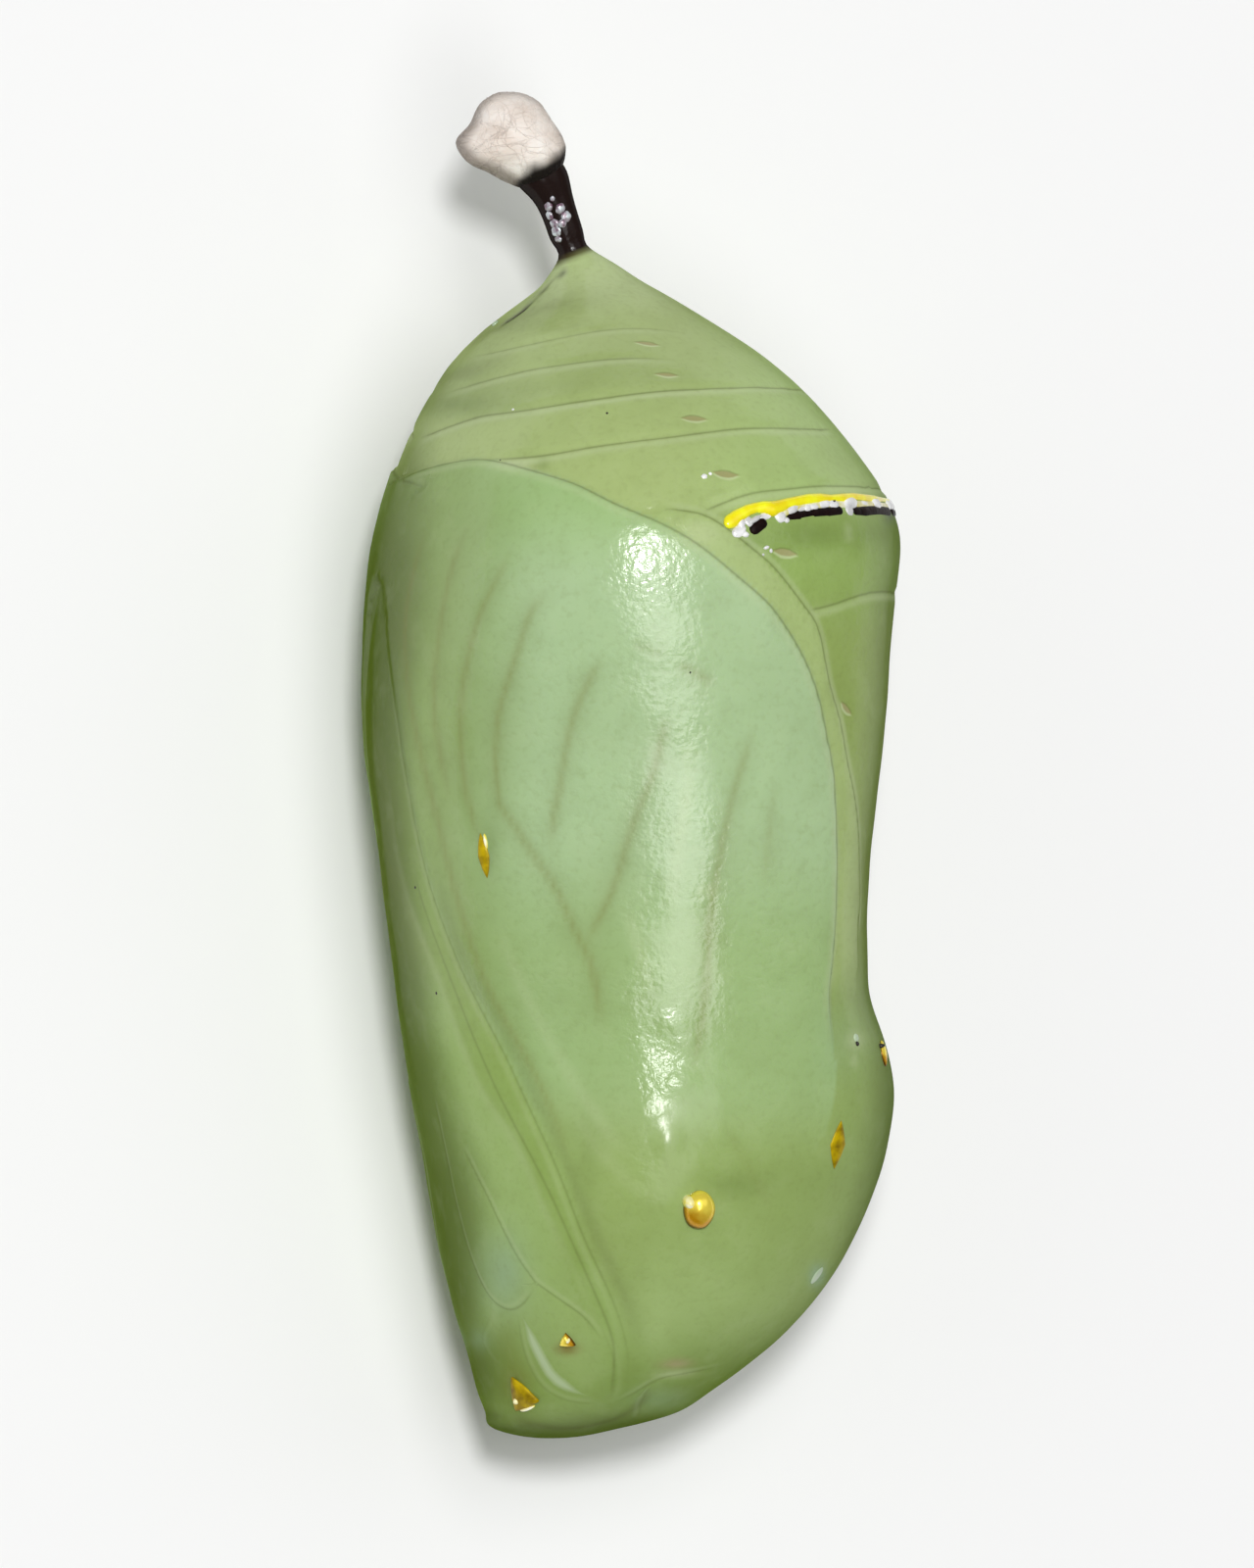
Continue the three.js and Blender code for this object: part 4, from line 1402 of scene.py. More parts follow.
@dataclass(frozen=True)
class SkinFinish:
    """The waxy green skin: soft gloss, light that seeps in, fine leathery grain and lines."""

    pale: Colour = (200, 214, 168)
    olive: Colour = (112, 122, 58)
    dark: Colour = (84, 88, 42)
    vein: Colour = (128, 126, 62)
    notch: Colour = (38, 26, 18)
    lines: tuple[LinePaint, ...] = (
        LinePaint("sutures", 0.45, 0.028, 0.3, -0.11),
        LinePaint("wing_edge", 0.42, 0.03, 0.2, -0.12),
        LinePaint("hind_edge", 0.42, 0.028, 0.26, 0.09, 0.07),
        LinePaint("antenna_edge", 0.24, 0.03, 0.13, -0.12, 0.08),
        LinePaint("antenna_inner", 0.0, 0.05, 0.15, 0.0, 0.12),
        LinePaint("antenna_beads", 0.28, 0.035, 0.0, 0.1),
        LinePaint("covers", 0.3, 0.028, 0.16, 0.09, 0.06),
        LinePaint("eye", 0.2, 0.03, 0.14, 0.09, 0.06),
    )
    lenses: tuple[Lens, ...] = (
        Lens("spiracles", 0.12, -0.045, 0.6, (200, 212, 164), 0.04),
        Lens("spiracles", 0.1, 0.012, 0.36, (96, 92, 50)),
        Lens("spiracles", 0.085, -0.008, 0.7, (162, 156, 102)),
        Lens("crescent", 0.17, 0.0, 0.6, (190, 206, 172), 0.13),
    )

    def material(self) -> bpy.types.Material:
        """Write the material.

        Returns:
            The material.
        """
        build = ShaderBuilder("pupa_skin")
        colour = build.attribute("tone").outputs["Color"]
        mottle = build.noise(1.6, 5.0)
        stalk, veins, vein_shades = build.split(build.attribute("extra").outputs["Vector"])
        green = build.math("SUBTRACT", 1.0, stalk, clamp=True)
        for noise, turn, share, tone in (
            (mottle, (1.0, -0.52), 0.34, self.pale),
            (mottle, (-1.0, 0.48), 0.5, self.olive),
            (build.noise(0.28, 2.0), (-1.0, 0.55), 0.5, self.olive),
            (build.noise(7.0, 2.0), (-1.0, 0.5), 0.5, self.olive),
        ):
            patch = build.math("MULTIPLY_ADD", noise, turn[0], turn[1], clamp=True)
            patch = build.math("MULTIPLY", build.math("MULTIPLY", patch, share), green)
            colour = build.mix(patch, colour, tone)
        streaks, shades, notch = build.split(build.attribute("soft").outputs["Vector"])
        # The pale streaks include a painted sheen down the wing case.
        for share, strength, tone in (
            (streaks, 0.32, self.pale),
            (vein_shades, 0.16, self.olive),
            (veins, 0.34, self.vein),
            (shades, 0.42, self.dark),
            (notch, 0.95, self.notch),
        ):
            colour = build.mix(build.math("MULTIPLY", share, strength), colour, tone)
        for paint in self.lines:
            distance, strength, _ = build.split(build.attribute(paint.layer).outputs["Vector"])
            if paint.rim > 0:
                glow = build.bell(distance, paint.rim_at, paint.rim_width)
                glow = build.math("MULTIPLY", glow, strength)
                colour = build.mix(build.math("MULTIPLY", glow, paint.rim), colour, self.pale)
            if paint.core > 0:
                line = build.math("MULTIPLY", build.bell(distance, 0.0, paint.width), strength)
                colour = build.mix(build.math("MULTIPLY", line, paint.core), colour, self.dark)
        for lens in self.lenses:
            colour = lens.paint(build, colour)
        waves = build.relief(build.noise(1.0, 2.0), 0.02, 1.0)
        patches = build.math("MULTIPLY_ADD", build.noise(0.6, 1.0), 3.0, -0.9, clamp=True)
        dull, net, _ = build.split(build.attribute("wax").outputs["Vector"])
        patches = build.math("MULTIPLY_ADD", net, 0.8, patches)
        fine = build.math("MULTIPLY", build.noise(7.0, 2.0), patches)
        grain = build.relief(fine, 0.013, 1.0, waves)
        facing = build.node("LayerWeight", {"Blend": 0.5}).outputs["Facing"]
        gloss = build.math("MULTIPLY_ADD", facing, -2.0, 1.6, clamp=True)
        gloss = build.math("MULTIPLY", gloss, build.math("MULTIPLY_ADD", stalk, -0.75, 1.0))
        gloss = build.math("MULTIPLY", gloss, build.math("MULTIPLY_ADD", dull, -0.68, 1.0))
        build.set(
            Base_Color=colour,
            Roughness=build.math("MULTIPLY_ADD", mottle, 0.2, 0.45),
            Normal=grain,
            Coat_Normal=grain,
            Subsurface_Weight=0.12,
            Subsurface_Radius=(0.8, 1.0, 0.35),
            Subsurface_Scale=0.0005,
            Specular_IOR_Level=0.0,
            Coat_Weight=gloss,
            Coat_Roughness=0.19,
            Coat_IOR=1.5,
        )
        return build.material


class Placing:
    """How the animal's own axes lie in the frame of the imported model."""

    def __init__(self, mesh: bpy.types.Mesh) -> None:
        """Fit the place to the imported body.

        Args:
            mesh: The skin's mesh in its own axes.
        """
        self.turn = np.array(Matrix.Rotation(REST_PITCH, 3, "X"))
        places = read_places(mesh) @ self.turn.T
        low, high = (np.array(corner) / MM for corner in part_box("pupa"))
        middle = (low + high) / 2 - (places.min(axis=0) + places.max(axis=0)) / 2
        self.shift = np.array([middle[0], middle[1], -places[:, 2].min() - REST_FLAT_DEPTH])
        top = places[:, 2].max() + self.shift[2] - high[2]
        LOG.info("body placed at %s, its top by the packed one's %.3f", self.shift.round(3), top)

    def to_frame(self, places: np.ndarray) -> np.ndarray:
        """Turn places in the animal's axes, in millimetres, into the frame's metres."""
        return (places @ self.turn.T + self.shift) * MM

    def direction(self, vector: np.ndarray) -> Vector:
        """Turn a direction in the animal's axes into the frame's."""
        return Vector(self.turn @ vector)

    def settle(self, mesh: bpy.types.Mesh) -> None:
        """Move a mesh from the animal's axes into the frame, pressed flat on the table.

        Args:
            mesh: The mesh, in millimetres.
        """
        places = self.to_frame(read_places(mesh))
        places[:, 2] = np.maximum(places[:, 2], 0.0)
        write_places(mesh, places)


def add_piece(
    name: str, mesh: bpy.types.Mesh, material: bpy.types.Material, node: str
) -> bpy.types.Object:
    """Put a finished mesh in the scene as a piece of the object.

    Args:
        name: The piece's name.
        mesh: Its mesh, in the frame's metres.
        material: Its finish.
        node: The node that it replaces.

    Returns:
        The object.
    """
    mesh.materials.append(material)
    piece = bpy.data.objects.new(name, mesh)
    bpy.context.scene.collection.objects.link(piece)
    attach(piece, "root")
    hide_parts(node)
    LOG.info("%s: %d faces", name, len(mesh.polygons))
    return piece


MIRROR = Vector((1.0, 1.0, -1.0))


def both_sides(bm: bmesh.types.BMesh, verts: Sequence[bmesh.types.BMVert]) -> None:
    """Copy part of a mesh onto the animal's left side as well.

    Args:
        bm: The mesh.
        verts: The vertices of the part on the right side.
    """
    faces = {face for vert in verts for face in vert.link_faces}
    copied = bmesh.ops.duplicate(bm, geom=list(faces))["geom"]
    new = [item for item in copied if isinstance(item, bmesh.types.BMVert)]
    bmesh.ops.scale(bm, vec=MIRROR, verts=new)


class Side(Enum):
    """Which of the animal's sides has a spot."""

    BOTH = "both"
    RIGHT = "right"
    LEFT = "left"


@dataclass(frozen=True)
class Knob:
    """A raised spot on the skin.

    Attributes:
        pixel: Where the photograph shows its middle.
        size: Half its size across, along and out of the skin, in millimetres.
        turn: How far it is turned on the skin, in degrees.
        corners: How many corners its outline has, 3 or more, or 0 for a round one.
        sharpness: How straight the edges between the corners are, from 0 to 1.
        facets: How strongly its top breaks into facets.
        skew: Where its peak lies, as a share of its size across and along.
        side: Which sides have it; a left one is placed as its mirror image on the right.
        past: How far past the pixel it lies, round towards the back's middle, in millimetres.
    """

    pixel: Pixel
    size: tuple[float, float, float]
    turn: float = 0.0
    corners: int = 0
    sharpness: float = 0.0
    facets: float = 0.0
    skew: tuple[float, float] = (0.0, 0.0)
    side: Side = Side.BOTH
    past: float = 0.0

    FACET_DEPTH = 0.12
    FACETS_ROUND = 5.0
    FACET_TWIST = 4.0

    def add_to(self, bm: bmesh.types.BMesh, skin: Skin, detail: tuple[int, int]) -> None:
        """Model the knob on the right side's skin.

        Args:
            bm: The mesh to add it to.
            skin: The skin that it stands on.
            detail: How many segments round and over it has.
        """
        place, out = skin.canvas.lift_pixel(self.pixel)
        if self.past:
            place, out = skin.canvas.past(place, self.past)
        place = place + out * skin.lift(place)
        unit = bm.verts.layers.float_vector["unit"]
        along = LONG_AXIS - out * out[1]
        along /= np.linalg.norm(along)
        side = np.cross(along, out)
        spin = math.radians(self.turn)
        made = bmesh.ops.create_uvsphere(bm, u_segments=detail[0], v_segments=detail[1], radius=1.0)
        for vert in made["verts"]:
            vert[unit] = vert.co
            x, y, z = vert.co
            angle = math.atan2(y, x)
            wave = math.sin(self.FACETS_ROUND * angle + self.FACET_TWIST * z)
            swell = 1.0 + self.facets * self.FACET_DEPTH * wave
            if self.corners:
                half_turn = math.pi / self.corners
                edge = math.cos(half_turn) / math.cos(angle % (2.0 * half_turn) - half_turn)
                swell += self.sharpness * (edge - 1.0)
            rise = max(z, 0.0)
            x, y = x * swell + self.skew[0] * rise, y * swell + self.skew[1] * rise
            x, y, z = x * self.size[0], y * self.size[1], z * self.size[2]
            x, y = x * math.cos(spin) - y * math.sin(spin), x * math.sin(spin) + y * math.cos(spin)
            vert.co = Vector(place + side * x + along * y + out * z)
        if self.side is Side.LEFT:
            bmesh.ops.scale(bm, vec=MIRROR, verts=made["verts"])
        if self.side is Side.BOTH:
            both_sides(bm, made["verts"])


@dataclass(frozen=True)
class KnobSet:
    """Knobs of one finish.

    Attributes:
        name: The piece's name.
        knobs: The knobs.
        detail: How many segments round and over each has.
    """

    name: str
    knobs: tuple[Knob, ...]
    detail: tuple[int, int] = (40, 24)

    def mesh(self, skin: Skin) -> bpy.types.Mesh:
        """Build all the knobs as one mesh.

        Args:
            skin: The skin that they stand on.

        Returns:
            The mesh, in millimetres in the animal's own axes.
        """
        bm = bmesh.new()
        bm.verts.layers.float_vector.new("unit")
        for knob in self.knobs:
            knob.add_to(bm, skin, self.detail)
        return finished_mesh(bm, self.name, outward=True)


GOLD_SPOTS = KnobSet(
    "gold_spots",
    (
        Knob((712, 1229), (0.34, 0.42, 0.3), 0.0, 0, 0.0, 0.1, (0.0, 0.1)),
        Knob((580, 1363), (0.2, 0.22, 0.13), 90.0, 3, 0.8),
        Knob((900, 1074), (0.15, 0.28, 0.08), 0.0, 4, 0.5, 0.2),
    ),
)
GOLD_MARKS = KnobSet(
    "gold_marks",
    (
        Knob((534, 1420), (0.46, 0.5, 0.1), -14.0, 3, 0.85, 0.0, (0.1, -0.1), Side.RIGHT),
        Knob((557, 1420), (0.46, 0.5, 0.1), -14.0, 3, 0.85, 0.0, (0.1, -0.1), Side.LEFT),
        Knob((853, 1165), (0.22, 0.52, 0.05), 0.0, 4, 0.75),
        Knob((498, 872), (0.14, 0.49, 0.05), 6.0, 4, 0.6),
    ),
)
# Painted highlights: pale gold bumps where the gold spots catch the light.
GOLD_GLINTS = KnobSet(
    "gold_glints",
    (
        Knob((702, 1221), (0.14, 0.16, 0.27), 30.0),
        Knob((540, 1432), (0.22, 0.05, 0.11), 14.0, side=Side.RIGHT),
        Knob((531, 1424), (0.08, 0.08, 0.15), 20.0, side=Side.RIGHT),
        Knob((563, 1432), (0.22, 0.05, 0.11), 14.0, side=Side.LEFT),
        Knob((554, 1424), (0.08, 0.08, 0.15), 20.0, side=Side.LEFT),
        Knob((582, 1361), (0.05, 0.06, 0.15), 0.0),
        Knob((500, 857), (0.04, 0.16, 0.055), 8.0),
    ),
    (24, 16),
)
PALE_BUMPS = KnobSet(
    "pale_bumps",
    (
        Knob((833, 1299), (0.15, 0.21, 0.03), -20.0),
        Knob((872, 1057), (0.08, 0.09, 0.04), 20.0),
        Knob((506, 331), (0.05, 0.08, 0.05)),
    ),
)
# Painted highlights: white sparkles on small bumps, on the right side only.
SPARKLES = KnobSet(
    "sparkles",
    (
        Knob((717, 492), (0.07, 0.06, 0.04), 20.0, facets=0.8, side=Side.RIGHT),
        Knob((723, 489), (0.04, 0.04, 0.03), side=Side.RIGHT),
        Knob((780, 562), (0.07, 0.04, 0.04), 20.0, facets=0.8, side=Side.RIGHT),
        Knob((785, 565), (0.04, 0.05, 0.03), side=Side.RIGHT),
        Knob((777, 569), (0.03, 0.03, 0.03), side=Side.RIGHT),
        Knob((524, 420), (0.04, 0.03, 0.02), side=Side.RIGHT),
    ),
    (16, 10),
)
BEAD_SPACING = 0.25
# How much broader across, broader along and lower the beads are than they were measured.
BEAD_SPREAD = np.array([1.35, 1.25, 0.7])
# The band's beads, painted white: partly its pale enamel, partly painted highlight where they catch the
# light.
WHITE_BEADS = KnobSet(
    "white_beads",
    (
        *(
            Knob(pixel, tuple(BEAD_SPREAD * size), turn, facets=0.3)
            for pixel, size, turn in (
                ((754, 538), (0.07, 0.12, 0.1), 0.0),
                ((752, 546), (0.14, 0.1, 0.1), 30.0),
                ((759, 549), (0.06, 0.05, 0.07), 0.0),
                ((762, 536), (0.07, 0.1, 0.05), 30.0),
                ((768, 534), (0.13, 0.05, 0.08), 30.0),
                ((779, 530), (0.12, 0.07, 0.05), 20.0),
                ((794, 530), (0.1, 0.12, 0.09), 20.0),
                ((801, 534), (0.05, 0.05, 0.06), 20.0),
                ((806, 523), (0.14, 0.08, 0.09), 25.0),
                ((816, 522), (0.1, 0.05, 0.06), 15.0),
                ((822, 521), (0.08, 0.07, 0.08), 15.0),
                ((828, 520), (0.11, 0.06, 0.08), 0.0),
                ((840, 517), (0.15, 0.07, 0.09), 8.0),
                ((849, 517), (0.13, 0.08, 0.09), 0.0),
                ((866, 516), (0.19, 0.11, 0.11), 10.0),
                ((865, 523), (0.09, 0.1, 0.06), 0.0),
                ((879, 516), (0.12, 0.05, 0.05), 0.0),
                ((892, 516), (0.17, 0.1, 0.1), 0.0),
            )
        ),
        *(
            Knob(
                (902, 517), (0.13 + 0.04 * (place % 2), 0.1, 0.07), 25.0 * place, facets=0.4,
                past=BEAD_SPACING * place,
            )
            for place in range(1, 10)
        ),
    ),
    (28, 16),
)
DARK_SPECKS = KnobSet(
    "dark_specks",
    tuple(
        Knob(pixel, size, turn, side=Side.RIGHT)
        for pixel, size, turn in (
            ((620, 427), (0.025, 0.03, 0.012), 0.0),
            ((703, 687), (0.02, 0.025, 0.01), 0.0),
            ((425, 905), (0.03, 0.03, 0.012), 0.0),
            ((447, 1012), (0.03, 0.035, 0.012), 0.0),
            ((848, 515), (0.035, 0.03, 0.1), 0.0),
            ((512, 473), (0.02, 0.02, 0.01), 0.0),
        )
    ),
    (12, 8),
)
DARK_PITS = KnobSet(
    "dark_pits",
    (
        Knob((873, 1063), (0.04, 0.055, 0.055), 20.0),
        Knob((897, 1066), (0.07, 0.05, 0.11)),
    ),
    (16, 10),
)
STALK_GLINTS = KnobSet(
    "stalk_glints",
    tuple(
        Knob(pixel, size, turn, facets=0.5, side=Side.RIGHT)
        for pixel, size, turn in (
            ((560, 212), (0.09, 0.1, 0.04), 0.0),
            ((561, 221), (0.08, 0.1, 0.04), 20.0),
            ((572, 214), (0.1, 0.12, 0.045), -20.0),
            ((578, 222), (0.11, 0.12, 0.045), 0.0),
            ((574, 229), (0.09, 0.09, 0.045), 0.0),
            ((566, 229), (0.1, 0.1, 0.04), 10.0),
            ((568, 237), (0.11, 0.12, 0.04), 0.0),
            ((570, 245), (0.08, 0.07, 0.04), 0.0),
            ((564, 204), (0.05, 0.06, 0.03), 0.0),
        )
    ),
    (20, 12),
)


@dataclass(frozen=True)
class SpotFinish:
    """The finish of a kind of spot: two tones that mingle, with its own gloss, and painted light and
    shade over its dome.

    Attributes:
        name: The material's name.
        deep: The darker tone.
        bright: The brighter tone.
        fleck: How many flecks to the millimetre.
        metallic: How metallic it is.
        roughness: Its roughness.
        coat: How strong its clear coat is.
        grain: The height of its grain in millimetres.
        top_highlight: How much brighter its top is than its rim.
        tailward_highlight: How much brighter its side towards the tail is.
        rim: The tone of the painted shade at its lowest rim and on its side towards the head, or none.
        sheen: How strongly its bare surface mirrors.
    """

    name: str
    deep: Colour
    bright: Colour
    fleck: float = 3.0
    metallic: float = 0.0
    roughness: float = 0.3
    coat: float = 0.5
    grain: float = 0.02
    # Painted light: the top and the side towards the tail are painted brighter, and the lowest rim
    # darker as painted shade.
    top_highlight: float = 0.0
    tailward_highlight: float = 0.0
    rim: Colour | None = None
    sheen: float = 0.5

    def material(self) -> bpy.types.Material:
        """Write the material."""
        build = ShaderBuilder(self.name)
        fleck = build.noise(self.fleck, 3.0)
        share = build.math("MULTIPLY_ADD", fleck, 3.0, -1.0 - 0.6 * self.top_highlight)
        # Painted highlight towards the top and the tail.
        _, toward_tail, height = build.split(build.attribute("unit").outputs["Vector"])
        share = build.math("MULTIPLY_ADD", height, self.top_highlight, share)
        share = build.math("MULTIPLY_ADD", toward_tail, self.tailward_highlight, share, clamp=True)
        colour = build.mix(share, self.deep, self.bright)
        # Painted shade at the lowest rim and on the side towards the head.
        if self.rim:
            low = build.math("MULTIPLY_ADD", height, -3.0, 1.2)
            low = build.math("MULTIPLY_ADD", toward_tail, -0.8, low, clamp=True)
            colour = build.mix(low, colour, self.rim)
        build.set(
            Base_Color=colour,
            Metallic=self.metallic,
            Roughness=self.roughness,
            Normal=build.relief(fleck, self.grain, 0.8),
            Specular_IOR_Level=self.sheen,
            Coat_Weight=self.coat,
            Coat_Roughness=0.08,
        )
        return build.material


# The gold spots: painted highlight on their tops and tail sides, painted shade at their lowest rims.
GOLD = SpotFinish(
    "gold", (206, 150, 4), (255, 232, 84), 2.0, 0.4, 0.24, 0.5, 0.01, 1.2, 1.0, (100, 62, 0), 0.2
)
DULL_GOLD = SpotFinish(
    "dull_gold", (118, 96, 0), (206, 178, 0), 3.0, 0.1, 0.5, 0.06, 0.012, sheen=0.15
)
# Near-white gold for the painted highlights, brightest on their tops.
GOLD_GLINT_HIGHLIGHT = SpotFinish(
    "gold_glint_highlight", (246, 228, 70), (255, 255, 224), 5.0, 0.0, 0.2, 0.8, 0.01, 1.0
)
PALE_ENAMEL = SpotFinish("pale_enamel", (214, 206, 110), (244, 242, 214), 5.0)
PALE_SKIN = SpotFinish("pale_skin", (158, 182, 142), (190, 208, 178), 2.5, 0.0, 0.4, 0.2, 0.01)
# White for the band's beads and for the painted sparkles: partly enamel, partly painted highlight.
WHITE_ENAMEL_AND_GLINT = SpotFinish("white_enamel_and_glint", (206, 206, 206), (255, 255, 255), 3.0)
YELLOW_ENAMEL = SpotFinish("yellow_enamel", (246, 222, 0), (255, 255, 30), 2.5)
BLACK_ENAMEL = SpotFinish(
    "black_enamel", (12, 4, 4), (28, 12, 10), 6.0, 0.0, 0.5, 0.0, 0.03, sheen=0.1
)
PITCH = SpotFinish("pitch", (16, 10, 8), (44, 32, 24), 8.0, 0.0, 0.5, 0.1)
GLINT = SpotFinish("glint", (112, 74, 96), (206, 216, 220), 9.0, 0.1, 0.3, 0.5, 0.03)


@dataclass(frozen=True)
class Ridge:
    """A raised line on the skin that swells and thins along its way.

    Attributes:
        pixels: The pixels that it passes through, in order.
        half_widths: Half of its width at each pixel, in pixels, or at even steps beyond them.
        rise: How far it stands out, as a share of its half width.
        to_middle: Whether it goes on round to the back's middle line.
        beyond: Where it starts and ends past the last pixel, in millimetres, if it lies only there.
    """

    pixels: tuple[Pixel, ...]
    half_widths: tuple[float, ...]
    rise: float = 0.8
    to_middle: bool = False
    beyond: tuple[float, float] | None = None

    SPACING = 0.03
    SEGMENTS = 20
    OVERLAP = 0.3
    LEAST_RINGS = 16
    # Normals are smoothed over twice as many places as this, and lifts read at every sixth.
    SMOOTHING = 7
    LIFT_STEP = 6

    def add_to(self, bm: bmesh.types.BMesh, skin: Skin) -> None:
        """Model the ridge on the right side's skin.

        Args:
            bm: The mesh to add it to.
            skin: The skin that it lies on.
        """
        line = SkinLine(list(self.pixels), to_middle=self.to_middle)
        line.lay(skin.canvas)
        path = line.path
        if self.to_middle:
            past = path[::-1][1:] * (1.0, 1.0, -1.0)
            keep = np.linalg.norm(past - path[-1], axis=1) < self.OVERLAP
            path = np.vstack([path, past[keep]])
        travelled = lengths_along(path)
        first, last = 0.0, travelled[-1]
        if self.beyond:
            first = line.seen_length + self.beyond[0]
            last = min(line.seen_length + self.beyond[1], last)
        count = max(self.LEAST_RINGS, int((last - first) / self.SPACING))
        along = np.linspace(first, last, count + 1)
        places = along_way(path, travelled, along)
        marks = np.linspace(first, last, len(self.half_widths))
        if not self.beyond:
            marks = [
                self._travelled_at(pixel, skin.canvas, path, travelled) for pixel in self.pixels
            ]
        widths = np.interp(along, marks, self.half_widths) * MM_PER_PIXEL
        ends = np.minimum(along - first, last - along)
        widths = widths * np.sqrt(1.0 - (1.0 - np.clip(ends / widths, 0.0, 1.0)) ** 2)
        self._sweep(bm, skin, places, widths)

    @staticmethod
    def _travelled_at(
        pixel: Pixel, canvas: Canvas, path: np.ndarray, travelled: np.ndarray
    ) -> float:
        """Give how far along a path the point nearest to a pixel's place is.

        Args:
            pixel: The pixel.
            canvas: The skin that the path lies on.
            path: The path's points.
            travelled: How far along the path each point is.

        Returns:
            The distance along the path in millimetres.
        """
        place, _ = canvas.lift_pixel(pixel)
        return float(travelled[((path - place) ** 2).sum(axis=1).argmin()])

    def _sweep(
        self, bm: bmesh.types.BMesh, skin: Skin, places: np.ndarray, widths: np.ndarray
    ) -> None:
        """Sweep a dome-shaped section along the places.

        Args:
            bm: The mesh to add it to.
            skin: The skin that it lies on.
            places: Evenly spaced places along the ridge.
            widths: Half of its width at each place.
        """
        folded = np.abs(places[:, 2])
        normals = []
        for place, out in zip(places, folded):
            _, normal, _, _ = skin.canvas.tree.find_nearest(Vector((place[0], place[1], out)))
            normal = np.array(normal)
            normal = normal if normal @ (place[0], 0.0, out) > 0 else -normal
            normals.append(normal * (1.0, 1.0, 1.0 if place[2] >= 0 else -1.0))
        normals = np.array(normals)
        kernel = np.hanning(2 * self.SMOOTHING + 1)
        padded = np.pad(normals, ((self.SMOOTHING, self.SMOOTHING), (0, 0)), mode="edge")
        normals = np.stack([np.convolve(padded[:, k], kernel, "valid") for k in range(3)], axis=1)
        normals /= np.linalg.norm(normals, axis=1, keepdims=True)
        numbers = np.arange(len(places))
        some = numbers[:: self.LIFT_STEP]
        lifts = [skin.lift(place * (1.0, 1.0, np.sign(place[2]))) for place in places[some]]
        lifts = np.interp(numbers, some, lifts)
        places = places + normals * lifts[:, None]
        ways = np.gradient(places, axis=0)
        ways /= np.linalg.norm(ways, axis=1, keepdims=True)
        side = np.cross(normals, ways) * widths[:, None]
        out = normals * self.rise * widths[:, None]
        both_sides(bm, sweep(bm, places, side, out, self.SEGMENTS))


@dataclass(frozen=True)
class RidgeSet:
    """Ridges of one finish, on both sides.

    Attributes:
        name: The piece's name.
        ridges: The ridges on the right side.
    """

    name: str
    ridges: tuple[Ridge, ...]

    def mesh(self, skin: Skin) -> bpy.types.Mesh:
        """Build all the ridges as one mesh.

        Args:
            skin: The skin that they lie on.

        Returns:
            The mesh, in millimetres in the animal's own axes.
        """
        bm = bmesh.new()
        for ridge in self.ridges:
            ridge.add_to(bm, skin)
        return finished_mesh(bm, self.name, outward=True)


YELLOW_BAND = RidgeSet(
    "yellow_band",
    (
        Ridge(
            (
                (738, 542), (744, 536), (752, 530), (763, 524), (771, 522), (780, 522), (788, 523),
                (796, 519), (807, 516), (820, 513), (832, 511), (844, 511), (856, 511), (867, 509),
                (878, 510), (890, 511), (905, 513),
            ),
            (5.0, 7.6, 7.0, 5.8, 5.4, 6.8, 8.4, 7.2, 5.6, 5.6, 5.0, 4.2, 4.8, 3.8, 3.8, 3.8, 3.4),
            0.7, True,
        ),
    ),
)
BACK_BLACK = ((868, 524), (880, 524), (890, 523), (902, 523))
BLACK_BAND = RidgeSet(
    "black_band",
    (
        Ridge(((764, 547), (771, 541), (780, 535)), (5.0, 6.0, 5.2), 0.5),
        Ridge(
            (
                (801, 531), (809, 529), (817, 528), (825, 527), (832, 525), (840, 525), (850, 524),
                (858, 523),
            ),
            (3.0, 4.8, 3.6, 3.2, 4.4, 4.2, 4.8, 4.8), 0.5,
        ),
        Ridge(BACK_BLACK, (4.2, 5.2, 4.8, 5.0), 0.5),
        Ridge(BACK_BLACK, (5.0, 4.6, 5.0), 0.5, True, (-0.25, 0.35)),
        Ridge(BACK_BLACK, (4.2, 5.4, 4.4, 5.4, 4.2), 0.5, True, (0.6, 1.65)),
        Ridge(BACK_BLACK, (4.2, 5.2, 4.8, 5.0), 0.5, True, (1.9, 9.0)),
    ),
)
PALE_BAND = RidgeSet(
    "pale_band",
    (
        Ridge(
            (
                (793, 529), (800, 526), (810, 521), (822, 519), (834, 518), (846, 517), (858, 517),
                (870, 517), (890, 517), (903, 518),
            ),
            (3.4, 3.8, 3.8, 3.6, 3.6, 3.8, 3.8, 3.8, 3.8, 3.6), 0.5, True,
        ),
    ),
)


